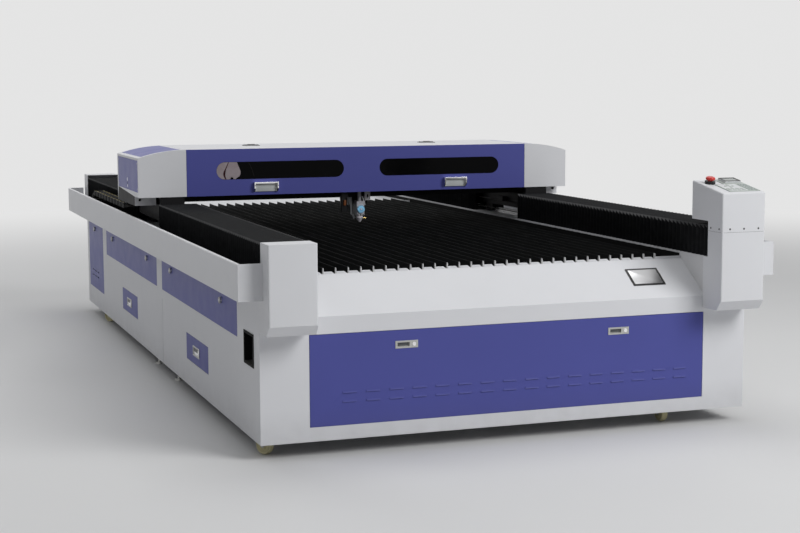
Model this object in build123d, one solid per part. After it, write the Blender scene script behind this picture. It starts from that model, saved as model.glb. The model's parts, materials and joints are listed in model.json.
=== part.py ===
from build123d import *
import math
import os

os.makedirs("parts", exist_ok=True)

# All sizes are in millimetres. X runs across the machine, Y from the front to the back, Z up.
# The origin is on the floor under the middle of the machine.

# Overall machine: the bed's width drives the base, and the base's length drives what stands behind the bed
BED_WIDTH = 1800.0
SIDE_WIDTH = 200.0
BASE_WIDTH = BED_WIDTH + 2 * SIDE_WIDTH
BASE_LENGTH = 4490.0
GROUND_GAP = 65.0
TOWER_PROUD = 150.0
TROUGH_REAR_OVERHANG = 140.0
OVERALL_LENGTH = TOWER_PROUD + BASE_LENGTH + TROUGH_REAR_OVERHANG
Y_FACE = TOWER_PROUD - OVERALL_LENGTH / 2
HALF = BASE_WIDTH / 2

# Sheet metal and running gaps
SHEET = 2.0
SEAT_GAP = 0.3
DOOR_GAP = 1.5
HINGE_GAP = 0.5
RUNNING_FIT = 0.05
DEPTH_MARGIN = 1.0

# Heights above the floor
FRAME_BOTTOM = 105.0
BEAM_TOP = 743.0
BEAM_BOTTOM = BEAM_TOP - 172.0
RIM_TOP = BEAM_TOP - 28.0
DOOR_BOTTOM = 123.0
DOOR_TOP = BEAM_BOTTOM - 71.0

# Cutting bed: a comb plate at each end and upright knife slats between them
BED_FRONT = 212.0
REAR_DECK = 730.0
BED_REAR = BASE_LENGTH - REAR_DECK
COMB_SHEET = 3.0
COMB_BOTTOM = BEAM_TOP - 143.0
SLAT_TOP = BEAM_TOP - 4.0
SLAT_HEIGHT = 65.0
SLAT_BOTTOM = SLAT_TOP - SLAT_HEIGHT
SLAT_THICKNESS = 4.0
SLAT_EDGE = 2.0
SLAT_BEVEL = 9.0
SLAT_COUNT = 29
SLAT_PITCH = 55.0
COMB_TOP = SLAT_TOP - 15.0
SLOT_MOUTH = 19.0
SLOT_MOUTH_DEPTH = 13.0

# Welded base frame: square tube, big side beams and the places of the cross tubes
TUBE = 60.0
TUBE_WALL = 4.0
BEAM_WALL = 8.0
SKIN_STANDOFF = 18.0
STATIONS = (30.0, 700.0, 2010.0, BED_REAR, BASE_LENGTH - 62.0)
SUPPORT_PLACES = (900.0, STATIONS[2], BED_REAR - 660.0)
SHELF_SHEET = 3.0

# Front door with its pressed louvres and two flush latches
FRONT_DOOR_WIDTH = BED_WIDTH - 12.0
PAN_DEPTH = 16.0
DOOR_FRAME_DEPTH = 22.0
LOUVRE_LENGTH = 60.0
LOUVRE_HEIGHT = 9.0
LOUVRE_RISE = 4.0
LOUVRE_CROWN = 2.5
LOUVRE_CHEEK = 1.5
LOUVRE_LIP = 1.0
LOUVRE_COUNT = 16
LOUVRE_MARGIN = 180.0
LOUVRE_PITCH = (FRONT_DOOR_WIDTH - LOUVRE_MARGIN) / LOUVRE_COUNT
LOUVRE_SHIFT = 27.0
LOUVRE_ROWS = (222.0, 260.0)
LATCH_X = 482.0
LATCH_Z = DOOR_TOP - 61.0
LATCH_WIDTH = 98.0
LATCH_HEIGHT = 31.0
LATCH_DEPTH = 14.0
LATCH_RIM_X = 8.0
LATCH_RIM_Z = 7.0
LATCH_DISH = (52.0, 10.0, 16.0)
LATCH_DISH_SHIFT = -14.0
LATCH_BUTTON_SHIFT = 32.0
LATCH_BUTTON_RADIUS = 8.0
LATCH_BUTTON_TRAVEL = 3.0
LATCH_BORE_DEPTH = 9.0

# Side panels, drawers and the recessed pull, as distances behind the front face
PANEL_TOP = BEAM_BOTTOM + 59.0
PANEL_BOTTOM = PANEL_TOP - 181.0
PANEL_ONE = (364.0, 1971.0)
PANEL_TWO = (2108.0, BED_REAR - 36.0)
PANEL_THREE = (BED_REAR + 99.0, BASE_LENGTH - 70.0)
TALL_PANEL_BOTTOM = 182.0
VENT_SLOT_HEIGHT = 8.0
VENT_SLOT_LENGTH = 48.0
VENT_SLOT_PITCH = 95.0
VENT_SLOT_RISE = 34.0
VENT_SLOT_Z = 262.0
VENT_SLOT_START = -60.0
DRAWER_ONE = (923.0, 1392.0)
DRAWER_TWO = (2688.0, 3172.0)
DRAWER_BOTTOM = 189.0
DRAWER_TOP = 316.0
DRAWER_DEPTH = 660.0
DRAWER_SHEET = 1.5
DRAWER_RAIL_X = DRAWER_DEPTH - HALF - 10.0
DRAWER_LIFT = 4.0
TRAY_INSET = 4.0
TRAY_DROP = 6.0
RUNNER_WIDTH = 20.0
RUNNER_INSET = 12.0
PULL = (88.0, 247.0)
PULL_TOP = DOOR_TOP
PULL_BOTTOM = PULL_TOP - 138.0
PULL_DEPTH = 32.0
PULL_LIP = 8.0
PULL_WALL = 3.0

# Sloping sheet under the bed and its gutter over the drawers
GUTTER_Z = DRAWER_TOP + 24.0
GUTTER_WALL = 60.0
CHUTE_SIDE = 40.0
CHUTE_KNEE = 30.0
CHUTE_END = 20.0

# Cable troughs and end covers
TROUGH_WIDTH = 99.0
TROUGH_BOTTOM = BEAM_TOP - 87.0
TROUGH_TOP = TROUGH_BOTTOM + 148.0
TROUGH_FRONT = -68.0
TROUGH_UPSTAND = 45.0
ROLL_RADIUS = 8.0
COVER_WIDTH = SIDE_WIDTH
COVER_TOP = BEAM_TOP + 139.0
COVER_BOTTOM = BEAM_TOP - 223.0
COVER_FACE_BOTTOM = BEAM_TOP - 181.0
CHAMFER_DEPTH = 33.0
EDGE_RADIUS = 7.0
REAR_COVER = (BASE_LENGTH - 54.0, BASE_LENGTH + 75.0)
REAR_COVER_BOTTOM = BEAM_TOP
REAR_COVER_TOP = BEAM_TOP + 155.0

# Control tower at the right-hand front corner, with its places counted from the machine's right side
TOWER_WIDTH = 211.0
TOWER_JOINT = BEAM_TOP + 115.0
TOWER_FACE_TOP = BEAM_TOP + 283.0
TOWER_REAR_TOP = TOWER_FACE_TOP + 43.0
TOWER_REAR = 100.0
TOWER_NOTCH_TOP = BEAM_TOP + 157.0
DESK_INSET = 4.0
ESTOP_X = HALF - 170.0
ESTOP_BACK = 25.0
ESTOP_COLLAR_RADIUS = 23.0
ESTOP_COLLAR_HEIGHT = 12.0
ESTOP_BUTTON_RADIUS = 20.0
ESTOP_BUTTON_HEIGHT = 14.0
ESTOP_STEM_RADIUS = 10.0
ESTOP_TRAVEL = 4.0
FACE_SHEET = 3.0
KEYPAD_X = HALF - 88.0
KEYPAD_BACK = -65.0
KEYPAD_SIZE = (150.0, 124.0)
DISPLAY_X = HALF - 64.0
DISPLAY_BACK = 42.0
DISPLAY_PLATE_BACK = 38.0
DISPLAY_PLATE_SIZE = (102.0, 92.0)
BEZEL_SIZE = (78.0, 62.0, 12.0)
DISPLAY_GLASS_SIZE = (62.0, 44.0, 3.0)

# Laser power supply on the shelf behind the front door
SUPPLY_X = 450.0
SUPPLY_BACK = 150.0
SUPPLY_WIDTH = 600.0
SUPPLY_DEPTH = 300.0
SUPPLY_HEIGHT = 210.0
VENT_COUNT = 8
VENT_PITCH = 60.0
VENT_LENGTH = 40.0
VENT_HEIGHT = 6.0
VENT_DEPTH = 3.0
VENT_ROWS = (60.0, 90.0)

# Bellows over the rails
BELLOWS_START = -36.0
BELLOWS_TOP = BEAM_TOP + 137.0
BELLOWS_WIDTH = 198.0
BELLOWS_PITCH = 62.0
BELLOWS_FOLD = 15.0
BELLOWS_CLOTH = 2.0

# Long-axis drive: rails, belts, pulleys and motors on the side beams
RAIL_X = HALF - SIDE_WIDTH / 2
RAIL_WIDTH = 24.0
RAIL_HEIGHT = 24.0
RAIL_START = 12.0
RAIL_END = BASE_LENGTH - 60.0
BELT_X = RAIL_X - 57.0
BELT_WIDTH = 16.0
BELT_THICKNESS = 2.0
PULLEY_WIDTH = 20.0
PULLEY_RADIUS = 24.0
PULLEY_HEIGHT = BEAM_TOP + 52.0
IDLER_BACK = 60.0
IDLER_BRACKET = 40.0
DRIVE_BACK = BASE_LENGTH + 10.0
SHAFT_RADIUS = 7.0
SHAFT_BORE_DEPTH = 10.0
MOTOR_SIZE = 86.0
MOTOR_LENGTH = 90.0
MOTOR_CHAMFER = 6.0
MOTOR_OUTER_X = HALF - 10.0

# Gantry, its cover and lid
GANTRY_FRONT = 2033.0
GANTRY_DEPTH = 618.0
GANTRY_BOTTOM = BEAM_TOP + 172.0
GANTRY_HEIGHT = 241.5
GANTRY_TOP = GANTRY_BOTTOM + GANTRY_HEIGHT
GANTRY_END_TOP = GANTRY_TOP - 39.5
CHEEK_WIDTH = 250.0
FLANGE_WIDTH = 34.0
LID_BACK = 380.0
LID_EDGE = 14.0
HINGE_RADIUS = 4.0
HINGE_X = 510.0
LEAF_DEPTH = 36.0
LEAF_SHEET = 3.0
HINGE_LENGTH = 82.0
WINDOW_X = 446.0
WINDOW_LENGTH = 692.0
WINDOW_HEIGHT = 91.0
WINDOW_Z = GANTRY_BOTTOM + GANTRY_HEIGHT / 2 + 7.75
PANE_MARGIN = 24.0
PANE_SHEET = 3.0
HANDLE_X = 531.0
HANDLE_WIDTH = 130.0
HANDLE_HEIGHT = 50.0
HANDLE_BOTTOM = GANTRY_BOTTOM + 17.0
HANDLE_DEPTH = 26.0
HANDLE_WALL = 6.0
HANDLE_BACK_SHEET = 3.0
BRACKET_BACK = 112.0
BRACKET_WIDTH = 111.0
BRACKET_BOTTOM = GANTRY_BOTTOM - 48.0
BRACKET_SHEET = 3.0
BRACKET_HOLE_RADIUS = 5.0
BRACKET_HOLE_INSET = 26.0
BRACKET_HOLE_RISE = 30.0
HATCH_FRONT = 12.0
HATCH_EDGE = 26.0
HATCH_INNER = 24.0
HATCH_OUTER = 20.0

# Gantry beam and what it carries
CROSS_BEAM_BACK = 180.0
CROSS_BEAM_DEPTH = 200.0
CROSS_BEAM_BOTTOM = GANTRY_BOTTOM - 40.0
CROSS_BEAM_TOP = CROSS_BEAM_BOTTOM + 140.0
FOOT_INNER = HALF - 140.0
FOOT_OUTER = HALF - 15.0
REST_LENGTH = 30.0
REST_INSET = 5.0
BLOCK_INSET = 30.0
BLOCK_WIDTH = 70.0
BLOCK_LENGTH = 100.0
BLOCK_TOP = BEAM_TOP + 47.0
BLOCK_LIFT = 6.0
CLAMP_LENGTH = 80.0
CLAMP_HEIGHT = 24.0
LASER_RADIUS = 40.0
LASER_LENGTH = BED_WIDTH - 160.0
LASER_CAP = 20.0
LASER_BACK = 487.0
OPTIC_HEIGHT = CROSS_BEAM_TOP + 45.0
CRADLE_X = 560.0
CRADLE_WIDTH = 36.0
CRADLE_REACH = 50.0
CRADLE_DROP = 60.0
CRADLE_LIP = 10.0
MIRROR_OFFSET = 80.0
MIRROR_SIZE = 52.0
MIRROR_CUT = 62.0
MIRROR_PLATE = 6.0
X_RAIL_Z = CROSS_BEAM_BOTTOM + 57.0
X_BELT_Z = CROSS_BEAM_BOTTOM + 110.0
X_BELT_FRONT = 25.0
X_PULLEY_X = HALF - 170.0
X_PULLEY_RADIUS = 16.0
X_PULLEY_WIDTH = 16.0
X_AXLE_RADIUS = 5.0
X_SHAFT_RADIUS = 4.0
X_BELT_WIDTH = 14.0
X_MOTOR_SIZE = 57.0
X_MOTOR_LENGTH = 70.0
X_MOTOR_NOSE = 42.0
X_MOTOR_PLATE = 5.0
X_MOTOR_FLANGE = 20.0
X_MOTOR_CHAMFER = 4.0

# Laser head, with the lens block's height counted from the slats
HEAD_X = 13.0
HEAD_BACK = 87.0
HEAD_SIZE = 44.0
HEAD_CHAMFER = 3.0
HEAD_MIRROR_CUT = 40.0
HEAD_BLOCK_BOTTOM = SLAT_TOP + 44.0
HEAD_BLOCK_TOP = HEAD_BLOCK_BOTTOM + 76.0
NOZZLE_TIP = SLAT_TOP + 7.0
NOZZLE_TIP_RADIUS = 5.0
NOZZLE_TOP_GAP = 12.0
BEAM_BORE_RADIUS = 3.0
BEAM_TUBE_RADIUS = 10.0
LENS_RADIUS = 19.0
LENS_ENTRY = 22.0
LENS_BORE_DEPTH = 50.0
MIRROR_BLOCK_BELOW = 55.0
MIRROR_BLOCK_ABOVE = 22.0
CAP_RADIUS = 20.0
CAP_HEIGHT = 34.0
CAP_DEPTH = 6.0
CARRIAGE_WIDTH = 100.0
CARRIAGE_WALL = 14.0
CARRIAGE_BELOW = 32.0
CARRIAGE_ABOVE = 30.0
CARRIAGE_GAP = 4.0
BELT_LUG_WIDTH = 40.0
BELT_LUG_HEIGHT = 4.2
PLATE_WIDTH = 120.0
PLATE_SHEET = 10.0
PLATE_BELOW_BEAM = 35.0
PLATE_BELOW_OPTICS = 30.0

# Drag chain in the left trough
CHAIN_PITCH = 50.0
CHAIN_RADIUS = 80.0
CHAIN_WIDTH = 60.0
CHAIN_HEIGHT = 30.0
CHAIN_SIDE = 3.0
CHAIN_BAR = 12.0
CHAIN_X = -HALF - 50.0
CHAIN_LIFT = 0.8
CHAIN_END_INSET = 51.0
CHAIN_MOVING = GANTRY_FRONT + GANTRY_DEPTH - CHAIN_END_INSET
CHAIN_FIXED = CHAIN_MOVING + 100.0
CHAIN_BEND = BED_REAR - 120.0

# Casters and levelling feet
WHEEL_RADIUS = 38.0
WHEEL_WIDTH = 28.0
WHEEL_EDGE = 4.0
CASTER_TRAIL = 30.0
CASTER_PLATE = (90.0, 80.0, 4.0)
RACE_DEPTH = 8.0
RACE_RADIUS = 25.0
DISC_RADIUS = 27.0
KINGPIN_RADIUS = 6.0
AXLE_RADIUS = 5.0
FORK_SHEET = 3.0
CASTER_INSET = 70.0
REAR_CASTERS = BASE_LENGTH - 585.0
CASTERS = {
    "front_left": (CASTER_INSET - HALF, 106.0, 39.0),
    "front_right": (HALF - 339.0, 91.0, 0.0),
    "rear_left": (CASTER_INSET - HALF, REAR_CASTERS, 50.0),
    "rear_right": (HALF - CASTER_INSET, REAR_CASTERS, -20.0),
}
FEET_BACK = (1826.0, 2339.0)
FOOT_X = HALF - 50.0
PAD_RADIUS = 22.0
PAD_HEIGHT = 12.0
STEM_RADIUS = 8.0

# Exhaust collars on the back
EXHAUST_X = 500.0
EXHAUST_Z = 430.0
EXHAUST_RADIUS = 75.0
EXHAUST_LENGTH = 60.0


def at(back):
    """Y of a place given as its distance behind the front face."""
    return Y_FACE + back


def block(x0, x1, back0, back1, z0, z1):
    """Box between two corners, with Y given behind the front face."""
    size = Box(x1 - x0, back1 - back0, z1 - z0)
    return Pos((x0 + x1) / 2, at((back0 + back1) / 2), (z0 + z1) / 2) * size


def tube_along_y(x0, x1, back0, back1, z0, z1, wall):
    core = block(x0 + wall, x1 - wall, back0 - DEPTH_MARGIN, back1 + DEPTH_MARGIN, z0 + wall, z1 - wall)
    return block(x0, x1, back0, back1, z0, z1) - core


def tube_along_x(x0, x1, back0, back1, z0, z1, wall):
    core = block(x0 - DEPTH_MARGIN, x1 + DEPTH_MARGIN, back0 + wall, back1 - wall, z0 + wall, z1 - wall)
    return block(x0, x1, back0, back1, z0, z1) - core


def tube_along_z(x0, x1, back0, back1, z0, z1, wall):
    core = block(x0 + wall, x1 - wall, back0 + wall, back1 - wall, z0 - DEPTH_MARGIN, z1 + DEPTH_MARGIN)
    return block(x0, x1, back0, back1, z0, z1) - core


def rod_x(x0, x1, back, z, radius):
    return Pos((x0 + x1) / 2, at(back), z) * Rotation(0, 90, 0) * Cylinder(radius, x1 - x0)


def rod_y(x, back0, back1, z, radius):
    return Pos(x, at((back0 + back1) / 2), z) * Rotation(90, 0, 0) * Cylinder(radius, back1 - back0)


def rod_z(x, back, z0, z1, radius):
    return Pos(x, at(back), (z0 + z1) / 2) * Cylinder(radius, z1 - z0)


def other_side(shape):
    return mirror(shape, about=Plane.YZ)


def pair(shape):
    return [shape, other_side(shape)]


def prism_x(points, x0, x1):
    """Outline of (distance behind the front face, height) pairs, drawn out along X."""
    outline = Plane.YZ * make_face(Polyline(*[(at(back), z) for back, z in points], close=True))
    return Pos(x0, 0, 0) * extrude(outline, x1 - x0, dir=(1, 0, 0))


def prism_y(points, back0, back1):
    """Outline of (x, height) pairs, drawn out along Y."""
    flat = make_face(Polyline(*[(x, z) for x, z in points], close=True))
    outline = Plane(origin=(0, at(back1), 0), x_dir=(1, 0, 0), z_dir=(0, -1, 0)) * flat
    return extrude(outline, back1 - back0, dir=(0, -1, 0))


def save(name, shapes):
    solids = []
    for shape in shapes:
        solids.extend(shape.solids())
    whole = Compound(children=solids) if len(solids) > 1 else solids[0]
    whole.label = name
    export_step(whole, os.path.join("parts", name + ".step"))


# Base frame


def caster_plate(x, back):
    """Top plate of a caster with the upper half of its swivel bearing."""
    width, length, sheet = CASTER_PLATE
    low = FRAME_BOTTOM - sheet
    plate = block(x - width / 2, x + width / 2, back - length / 2, back + length / 2, low, FRAME_BOTTOM)
    race = rod_z(x, back, FRAME_BOTTOM - RACE_DEPTH + SEAT_GAP, low, RACE_RADIUS)
    bore = rod_z(x, back, FRAME_BOTTOM - RACE_DEPTH - DEPTH_MARGIN, FRAME_BOTTOM + DEPTH_MARGIN,
                 KINGPIN_RADIUS + RUNNING_FIT)
    return plate + race - bore


def levelling_foot(x, back):
    pad = rod_z(x, back, 0, PAD_HEIGHT, PAD_RADIUS)
    stem = rod_z(x, back, PAD_HEIGHT, FRAME_BOTTOM, STEM_RADIUS)
    return pad + stem


def idler_bracket():
    """Upright and stub axle that carry the belt's front pulley."""
    inner = BELT_X + PULLEY_WIDTH / 2 + SEAT_GAP
    half = IDLER_BRACKET / 2
    upright = block(inner, inner + half, IDLER_BACK - half, IDLER_BACK + half, BEAM_TOP, PULLEY_HEIGHT + half)
    axle = rod_x(BELT_X - PULLEY_WIDTH / 2 - SHEET, inner, IDLER_BACK, PULLEY_HEIGHT, SHAFT_RADIUS)
    return upright + axle


def drawer_runners(span):
    """Two short tubes under a drawer, from the outer rail to the inner one."""
    runners = []
    for side in (span[0] + RUNNER_INSET, span[1] - RUNNER_INSET - RUNNER_WIDTH):
        top = DRAWER_BOTTOM + DRAWER_LIFT
        outer = SHEET + SKIN_STANDOFF + TUBE / 2 - HALF
        runners.append(block(outer, DRAWER_RAIL_X + TUBE / 2, side, side + RUNNER_WIDTH,
                             FRAME_BOTTOM + TUBE, top))
    return runners


def base_frame():
    outer = HALF - SHEET - SKIN_STANDOFF
    inner = outer - TUBE
    top = FRAME_BOTTOM + TUBE
    bed_edge = BED_WIDTH / 2
    solids = pair(tube_along_y(inner, outer, SHEET, BASE_LENGTH - SHEET, FRAME_BOTTOM, top, TUBE_WALL))
    beam = tube_along_y(bed_edge, outer, SHEET, BASE_LENGTH - SHEET, BEAM_BOTTOM, BEAM_TOP, BEAM_WALL)
    solids += pair(beam)
    for station in STATIONS:
        solids.append(tube_along_x(-inner, inner, station, station + TUBE, FRAME_BOTTOM, top, TUBE_WALL))
        solids += pair(tube_along_z(inner, outer, station, station + TUBE, top, BEAM_BOTTOM, TUBE_WALL))
    for place in SUPPORT_PLACES:
        solids.append(tube_along_x(-bed_edge, bed_edge, place, place + TUBE, SLAT_BOTTOM - TUBE, SLAT_BOTTOM,
                                   TUBE_WALL))
    for start, end in zip(STATIONS[1:3], STATIONS[2:4]):
        rail_x = (DRAWER_RAIL_X - TUBE / 2, DRAWER_RAIL_X + TUBE / 2)
        solids.append(tube_along_y(*rail_x, start + TUBE, end, FRAME_BOTTOM, top, TUBE_WALL))
    shelf_front = STATIONS[0] + TUBE / 2
    shelf_rear = STATIONS[1] + TUBE / 2
    solids.append(block(SHEET - inner, inner - SHEET, shelf_front, shelf_rear, top, top + SHELF_SHEET))
    solids += drawer_runners(DRAWER_ONE) + drawer_runners(DRAWER_TWO)
    solids += pair(idler_bracket())
    solids += [caster_plate(x, back) for x, back, _ in CASTERS.values()]
    for back in FEET_BACK:
        solids += pair(levelling_foot(FOOT_X, back))
    return solids


# Skins


def panel_hole(span, z0, z1):
    return block(-HALF - DEPTH_MARGIN, -HALF + SHEET + DEPTH_MARGIN, *span, z0, z1)


def plain_skin():
    """Left side sheet with a fold at the beam's top and one along the foot of the frame."""
    skin = block(-HALF, -HALF + SHEET, SHEET, BASE_LENGTH - SHEET, GROUND_GAP, BEAM_TOP)
    fold = SHEET + SKIN_STANDOFF
    skin += block(-HALF, -HALF + fold, SHEET, BASE_LENGTH - SHEET, BEAM_TOP - SHEET, BEAM_TOP)
    return skin + block(-HALF, -HALF + fold, SHEET, BASE_LENGTH - SHEET, FRAME_BOTTOM, FRAME_BOTTOM + SHEET)


def skin_left():
    """Side sheet with holes for three panels, two drawers and the recessed pull."""
    skin = plain_skin()
    skin -= panel_hole(PANEL_ONE, PANEL_BOTTOM, PANEL_TOP)
    skin -= panel_hole(PANEL_TWO, PANEL_BOTTOM, PANEL_TOP)
    skin -= panel_hole(PANEL_THREE, TALL_PANEL_BOTTOM, PANEL_TOP)
    skin -= panel_hole(DRAWER_ONE, DRAWER_BOTTOM, DRAWER_TOP)
    skin -= panel_hole(DRAWER_TWO, DRAWER_BOTTOM, DRAWER_TOP)
    lip = PULL_LIP
    return skin - panel_hole((PULL[0] + lip, PULL[1] - lip), PULL_BOTTOM + lip, PULL_TOP - lip)


def skin_right():
    return other_side(plain_skin())


def skin_rear():
    """Deck behind the bed, folded down as the back wall, with two welded exhaust collars."""
    bed_edge = BED_WIDTH / 2
    wall = block(-HALF, HALF, BASE_LENGTH - SHEET, BASE_LENGTH, GROUND_GAP, RIM_TOP)
    deck_front = BED_REAR + COMB_SHEET
    deck = block(-bed_edge, bed_edge, deck_front, BASE_LENGTH, RIM_TOP - SHEET, RIM_TOP)
    skin = wall + deck
    for x in (-EXHAUST_X, EXHAUST_X):
        way = rod_y(x, BASE_LENGTH - 2 * SHEET, BASE_LENGTH + EXHAUST_LENGTH + DEPTH_MARGIN, EXHAUST_Z,
                    EXHAUST_RADIUS - SHEET)
        collar = rod_y(x, BASE_LENGTH - SHEET, BASE_LENGTH + EXHAUST_LENGTH, EXHAUST_Z, EXHAUST_RADIUS)
        skin = skin + collar - way
    return skin


def front_fascia():
    """Front sheet: two pedestals, the strip over the door and the slope up to the bed."""
    bed_edge = BED_WIDTH / 2
    half_door = FRONT_DOOR_WIDTH / 2 + DOOR_GAP
    outer = half_door + SHEET
    margin = DEPTH_MARGIN
    sheet = block(-HALF, HALF, 0, SHEET, GROUND_GAP, BEAM_TOP)
    sheet -= block(-bed_edge, bed_edge, -margin, SHEET + margin, BEAM_BOTTOM, BEAM_TOP + margin)
    slope = [(0, BEAM_BOTTOM), (BED_FRONT, RIM_TOP), (BED_FRONT, RIM_TOP - 1.5 * SHEET),
             (SHEET, BEAM_BOTTOM - SHEET / 2)]
    sheet += prism_x(slope, -bed_edge, bed_edge)
    frame = block(-outer, outer, 0, DOOR_FRAME_DEPTH, DOOR_BOTTOM - SHEET, DOOR_TOP + SHEET)
    hole = block(-half_door, half_door, -margin, DOOR_FRAME_DEPTH + margin, DOOR_BOTTOM, DOOR_TOP)
    return sheet + frame - hole


def comb(back):
    """End plate of the bed: each slat's slot is upright on one side and slants on the other."""
    half = BED_WIDTH / 2
    slot = SLAT_THICKNESS / 2 + SEAT_GAP
    foot = SLAT_BOTTOM - SEAT_GAP
    first = -SLAT_PITCH * (SLAT_COUNT - 1) / 2
    points = [(-half, COMB_BOTTOM), (half, COMB_BOTTOM), (half, COMB_TOP)]
    for index in reversed(range(SLAT_COUNT)):
        x = first + index * SLAT_PITCH
        points += [(x + slot, COMB_TOP), (x + slot, foot), (x - slot, foot)]
        points += [(x - slot, COMB_TOP - SLOT_MOUTH_DEPTH), (x - SLOT_MOUTH, COMB_TOP)]
    points.append((-half, COMB_TOP))
    return prism_y(points, back, back + COMB_SHEET)


def slats():
    """Upright slats with a knife edge along the top."""
    first = -SLAT_PITCH * (SLAT_COUNT - 1) / 2
    half = SLAT_THICKNESS / 2
    edge = SLAT_EDGE / 2
    shoulder = SLAT_TOP - SLAT_BEVEL
    row = []
    for index in range(SLAT_COUNT):
        x = first + index * SLAT_PITCH
        outline = [(x - half, SLAT_BOTTOM), (x + half, SLAT_BOTTOM), (x + half, shoulder),
                   (x + edge, SLAT_TOP), (x - edge, SLAT_TOP), (x - half, shoulder)]
        row.append(prism_y(outline, BED_FRONT, BED_REAR + COMB_SHEET))
    return row


def scrap_hopper():
    """Sloping sheet under the bed, with a flat gutter that opens over each drawer."""
    right = BED_WIDTH / 2
    left = -(HALF - SHEET - SKIN_STANDOFF - TUBE) + SEAT_GAP
    knee = DRAWER_RAIL_X + TUBE / 2
    wall_top = GUTTER_Z + GUTTER_WALL
    outline = [(right, COMB_BOTTOM), (knee, GUTTER_Z), (left, GUTTER_Z), (left, wall_top),
               (left + SHEET, wall_top), (left + SHEET, GUTTER_Z + SHEET),
               (knee - SHEET / 2, GUTTER_Z + SHEET), (right, COMB_BOTTOM + SHEET)]
    sheet = prism_y(outline, BED_FRONT + COMB_SHEET + SHEET, BED_REAR - SHEET)
    for span in (DRAWER_ONE, DRAWER_TWO):
        sheet -= block(left + CHUTE_SIDE, knee - CHUTE_KNEE, span[0] + CHUTE_END, span[1] - CHUTE_END,
                       GUTTER_Z - DEPTH_MARGIN, GUTTER_Z + SHEET + DEPTH_MARGIN)
    return sheet


def front_pan(width, height):
    """Folded door: a face and four turned edges, standing on its lower edge at Y zero."""
    shell = Pos(0, PAN_DEPTH / 2, height / 2) * Box(width, PAN_DEPTH, height)
    hollow = Pos(0, PAN_DEPTH / 2 + SHEET, height / 2) * Box(width - 2 * SHEET, PAN_DEPTH, height - 2 * SHEET)
    return shell - hollow


def louvre():
    """Hood pressed out of a sheet whose face is at Y zero, open at its lower edge."""
    half = LOUVRE_LENGTH / 2
    outer = Polyline((0, LOUVRE_HEIGHT), (-LOUVRE_RISE, 0), (SHEET, 0), (SHEET, LOUVRE_HEIGHT), close=True)
    top = LOUVRE_HEIGHT - LOUVRE_CROWN
    low = -DEPTH_MARGIN
    behind = SHEET + DEPTH_MARGIN
    inner = Polyline((behind, top), (0, top), (LOUVRE_LIP - LOUVRE_RISE, low), (behind, low), close=True)
    hood = extrude(Plane.YZ * make_face(outer), half, both=True)
    cut = extrude(Plane.YZ * make_face(inner), half - LOUVRE_CHEEK, both=True)
    return hood, cut


def front_door():
    height = DOOR_TOP - DOOR_BOTTOM - DOOR_GAP - HINGE_GAP
    door = front_pan(FRONT_DOOR_WIDTH, height)
    hood, cut = louvre()
    hoods = []
    cuts = []
    first = -LOUVRE_PITCH * (LOUVRE_COUNT - 1) / 2
    base = DOOR_BOTTOM + HINGE_GAP
    for row in LOUVRE_ROWS:
        for index in range(LOUVRE_COUNT):
            place = Pos(first + index * LOUVRE_PITCH + LOUVRE_SHIFT, 0, row - base - LOUVRE_HEIGHT / 2)
            hoods.append(place * hood)
            cuts.append(place * cut)
    door = door + hoods - cuts
    for x in (-LATCH_X, LATCH_X):
        opening = Box(LATCH_WIDTH - LATCH_RIM_X, 3 * SHEET, LATCH_HEIGHT - LATCH_RIM_Z)
        door -= Pos(x, 0, LATCH_Z - base) * opening
    return Pos(0, at(0), base) * door


def latch(x):
    """Flush latch: a bezel on the door's face, a body behind it and a finger dish."""
    bezel = Pos(x, at(0) - SHEET / 2, LATCH_Z) * Box(LATCH_WIDTH, SHEET, LATCH_HEIGHT)
    width = LATCH_WIDTH - LATCH_RIM_X - 2 * SEAT_GAP
    height = LATCH_HEIGHT - LATCH_RIM_Z - 2 * SEAT_GAP
    piece = bezel + Pos(x, at(0) + LATCH_DEPTH / 2, LATCH_Z) * Box(width, LATCH_DEPTH, height)
    piece -= Pos(x + LATCH_DISH_SHIFT, at(0) + SHEET, LATCH_Z) * Box(*LATCH_DISH)
    bore = LATCH_BUTTON_RADIUS + RUNNING_FIT
    return piece - rod_y(x + LATCH_BUTTON_SHIFT, -SHEET - DEPTH_MARGIN, LATCH_BORE_DEPTH, LATCH_Z, bore)


def latch_button(x):
    """Round push button that runs in the latch's bore."""
    inner = LATCH_BORE_DEPTH - LATCH_BUTTON_TRAVEL - SEAT_GAP
    return rod_y(x + LATCH_BUTTON_SHIFT, -2 * SHEET, inner, LATCH_Z, LATCH_BUTTON_RADIUS)


def side_pan(span, z0, z1):
    """Folded side panel with its face flush with the left skin."""
    low = z0 + HINGE_GAP
    high = z1 - DOOR_GAP
    front = span[0] + DOOR_GAP
    back = span[1] - HINGE_GAP
    shell = block(-HALF, -HALF + PAN_DEPTH, front, back, low, high)
    behind = -HALF + PAN_DEPTH + DEPTH_MARGIN
    hollow = block(-HALF + SHEET, behind, front + SHEET, back - SHEET, low + SHEET, high - SHEET)
    return shell - hollow


def tall_side_panel():
    """Rear side panel with two rows of three small vent slots near its foot."""
    panel = side_pan(PANEL_THREE, TALL_PANEL_BOTTOM, PANEL_TOP)
    first = (PANEL_THREE[0] + PANEL_THREE[1]) / 2 + VENT_SLOT_START
    reach = VENT_SLOT_LENGTH / 2
    for row in range(2):
        for column in range(3):
            back = first + column * VENT_SLOT_PITCH
            low = VENT_SLOT_Z + row * VENT_SLOT_RISE - VENT_SLOT_HEIGHT / 2
            panel -= panel_hole((back - reach, back + reach), low, low + VENT_SLOT_HEIGHT)
    return panel


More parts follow.
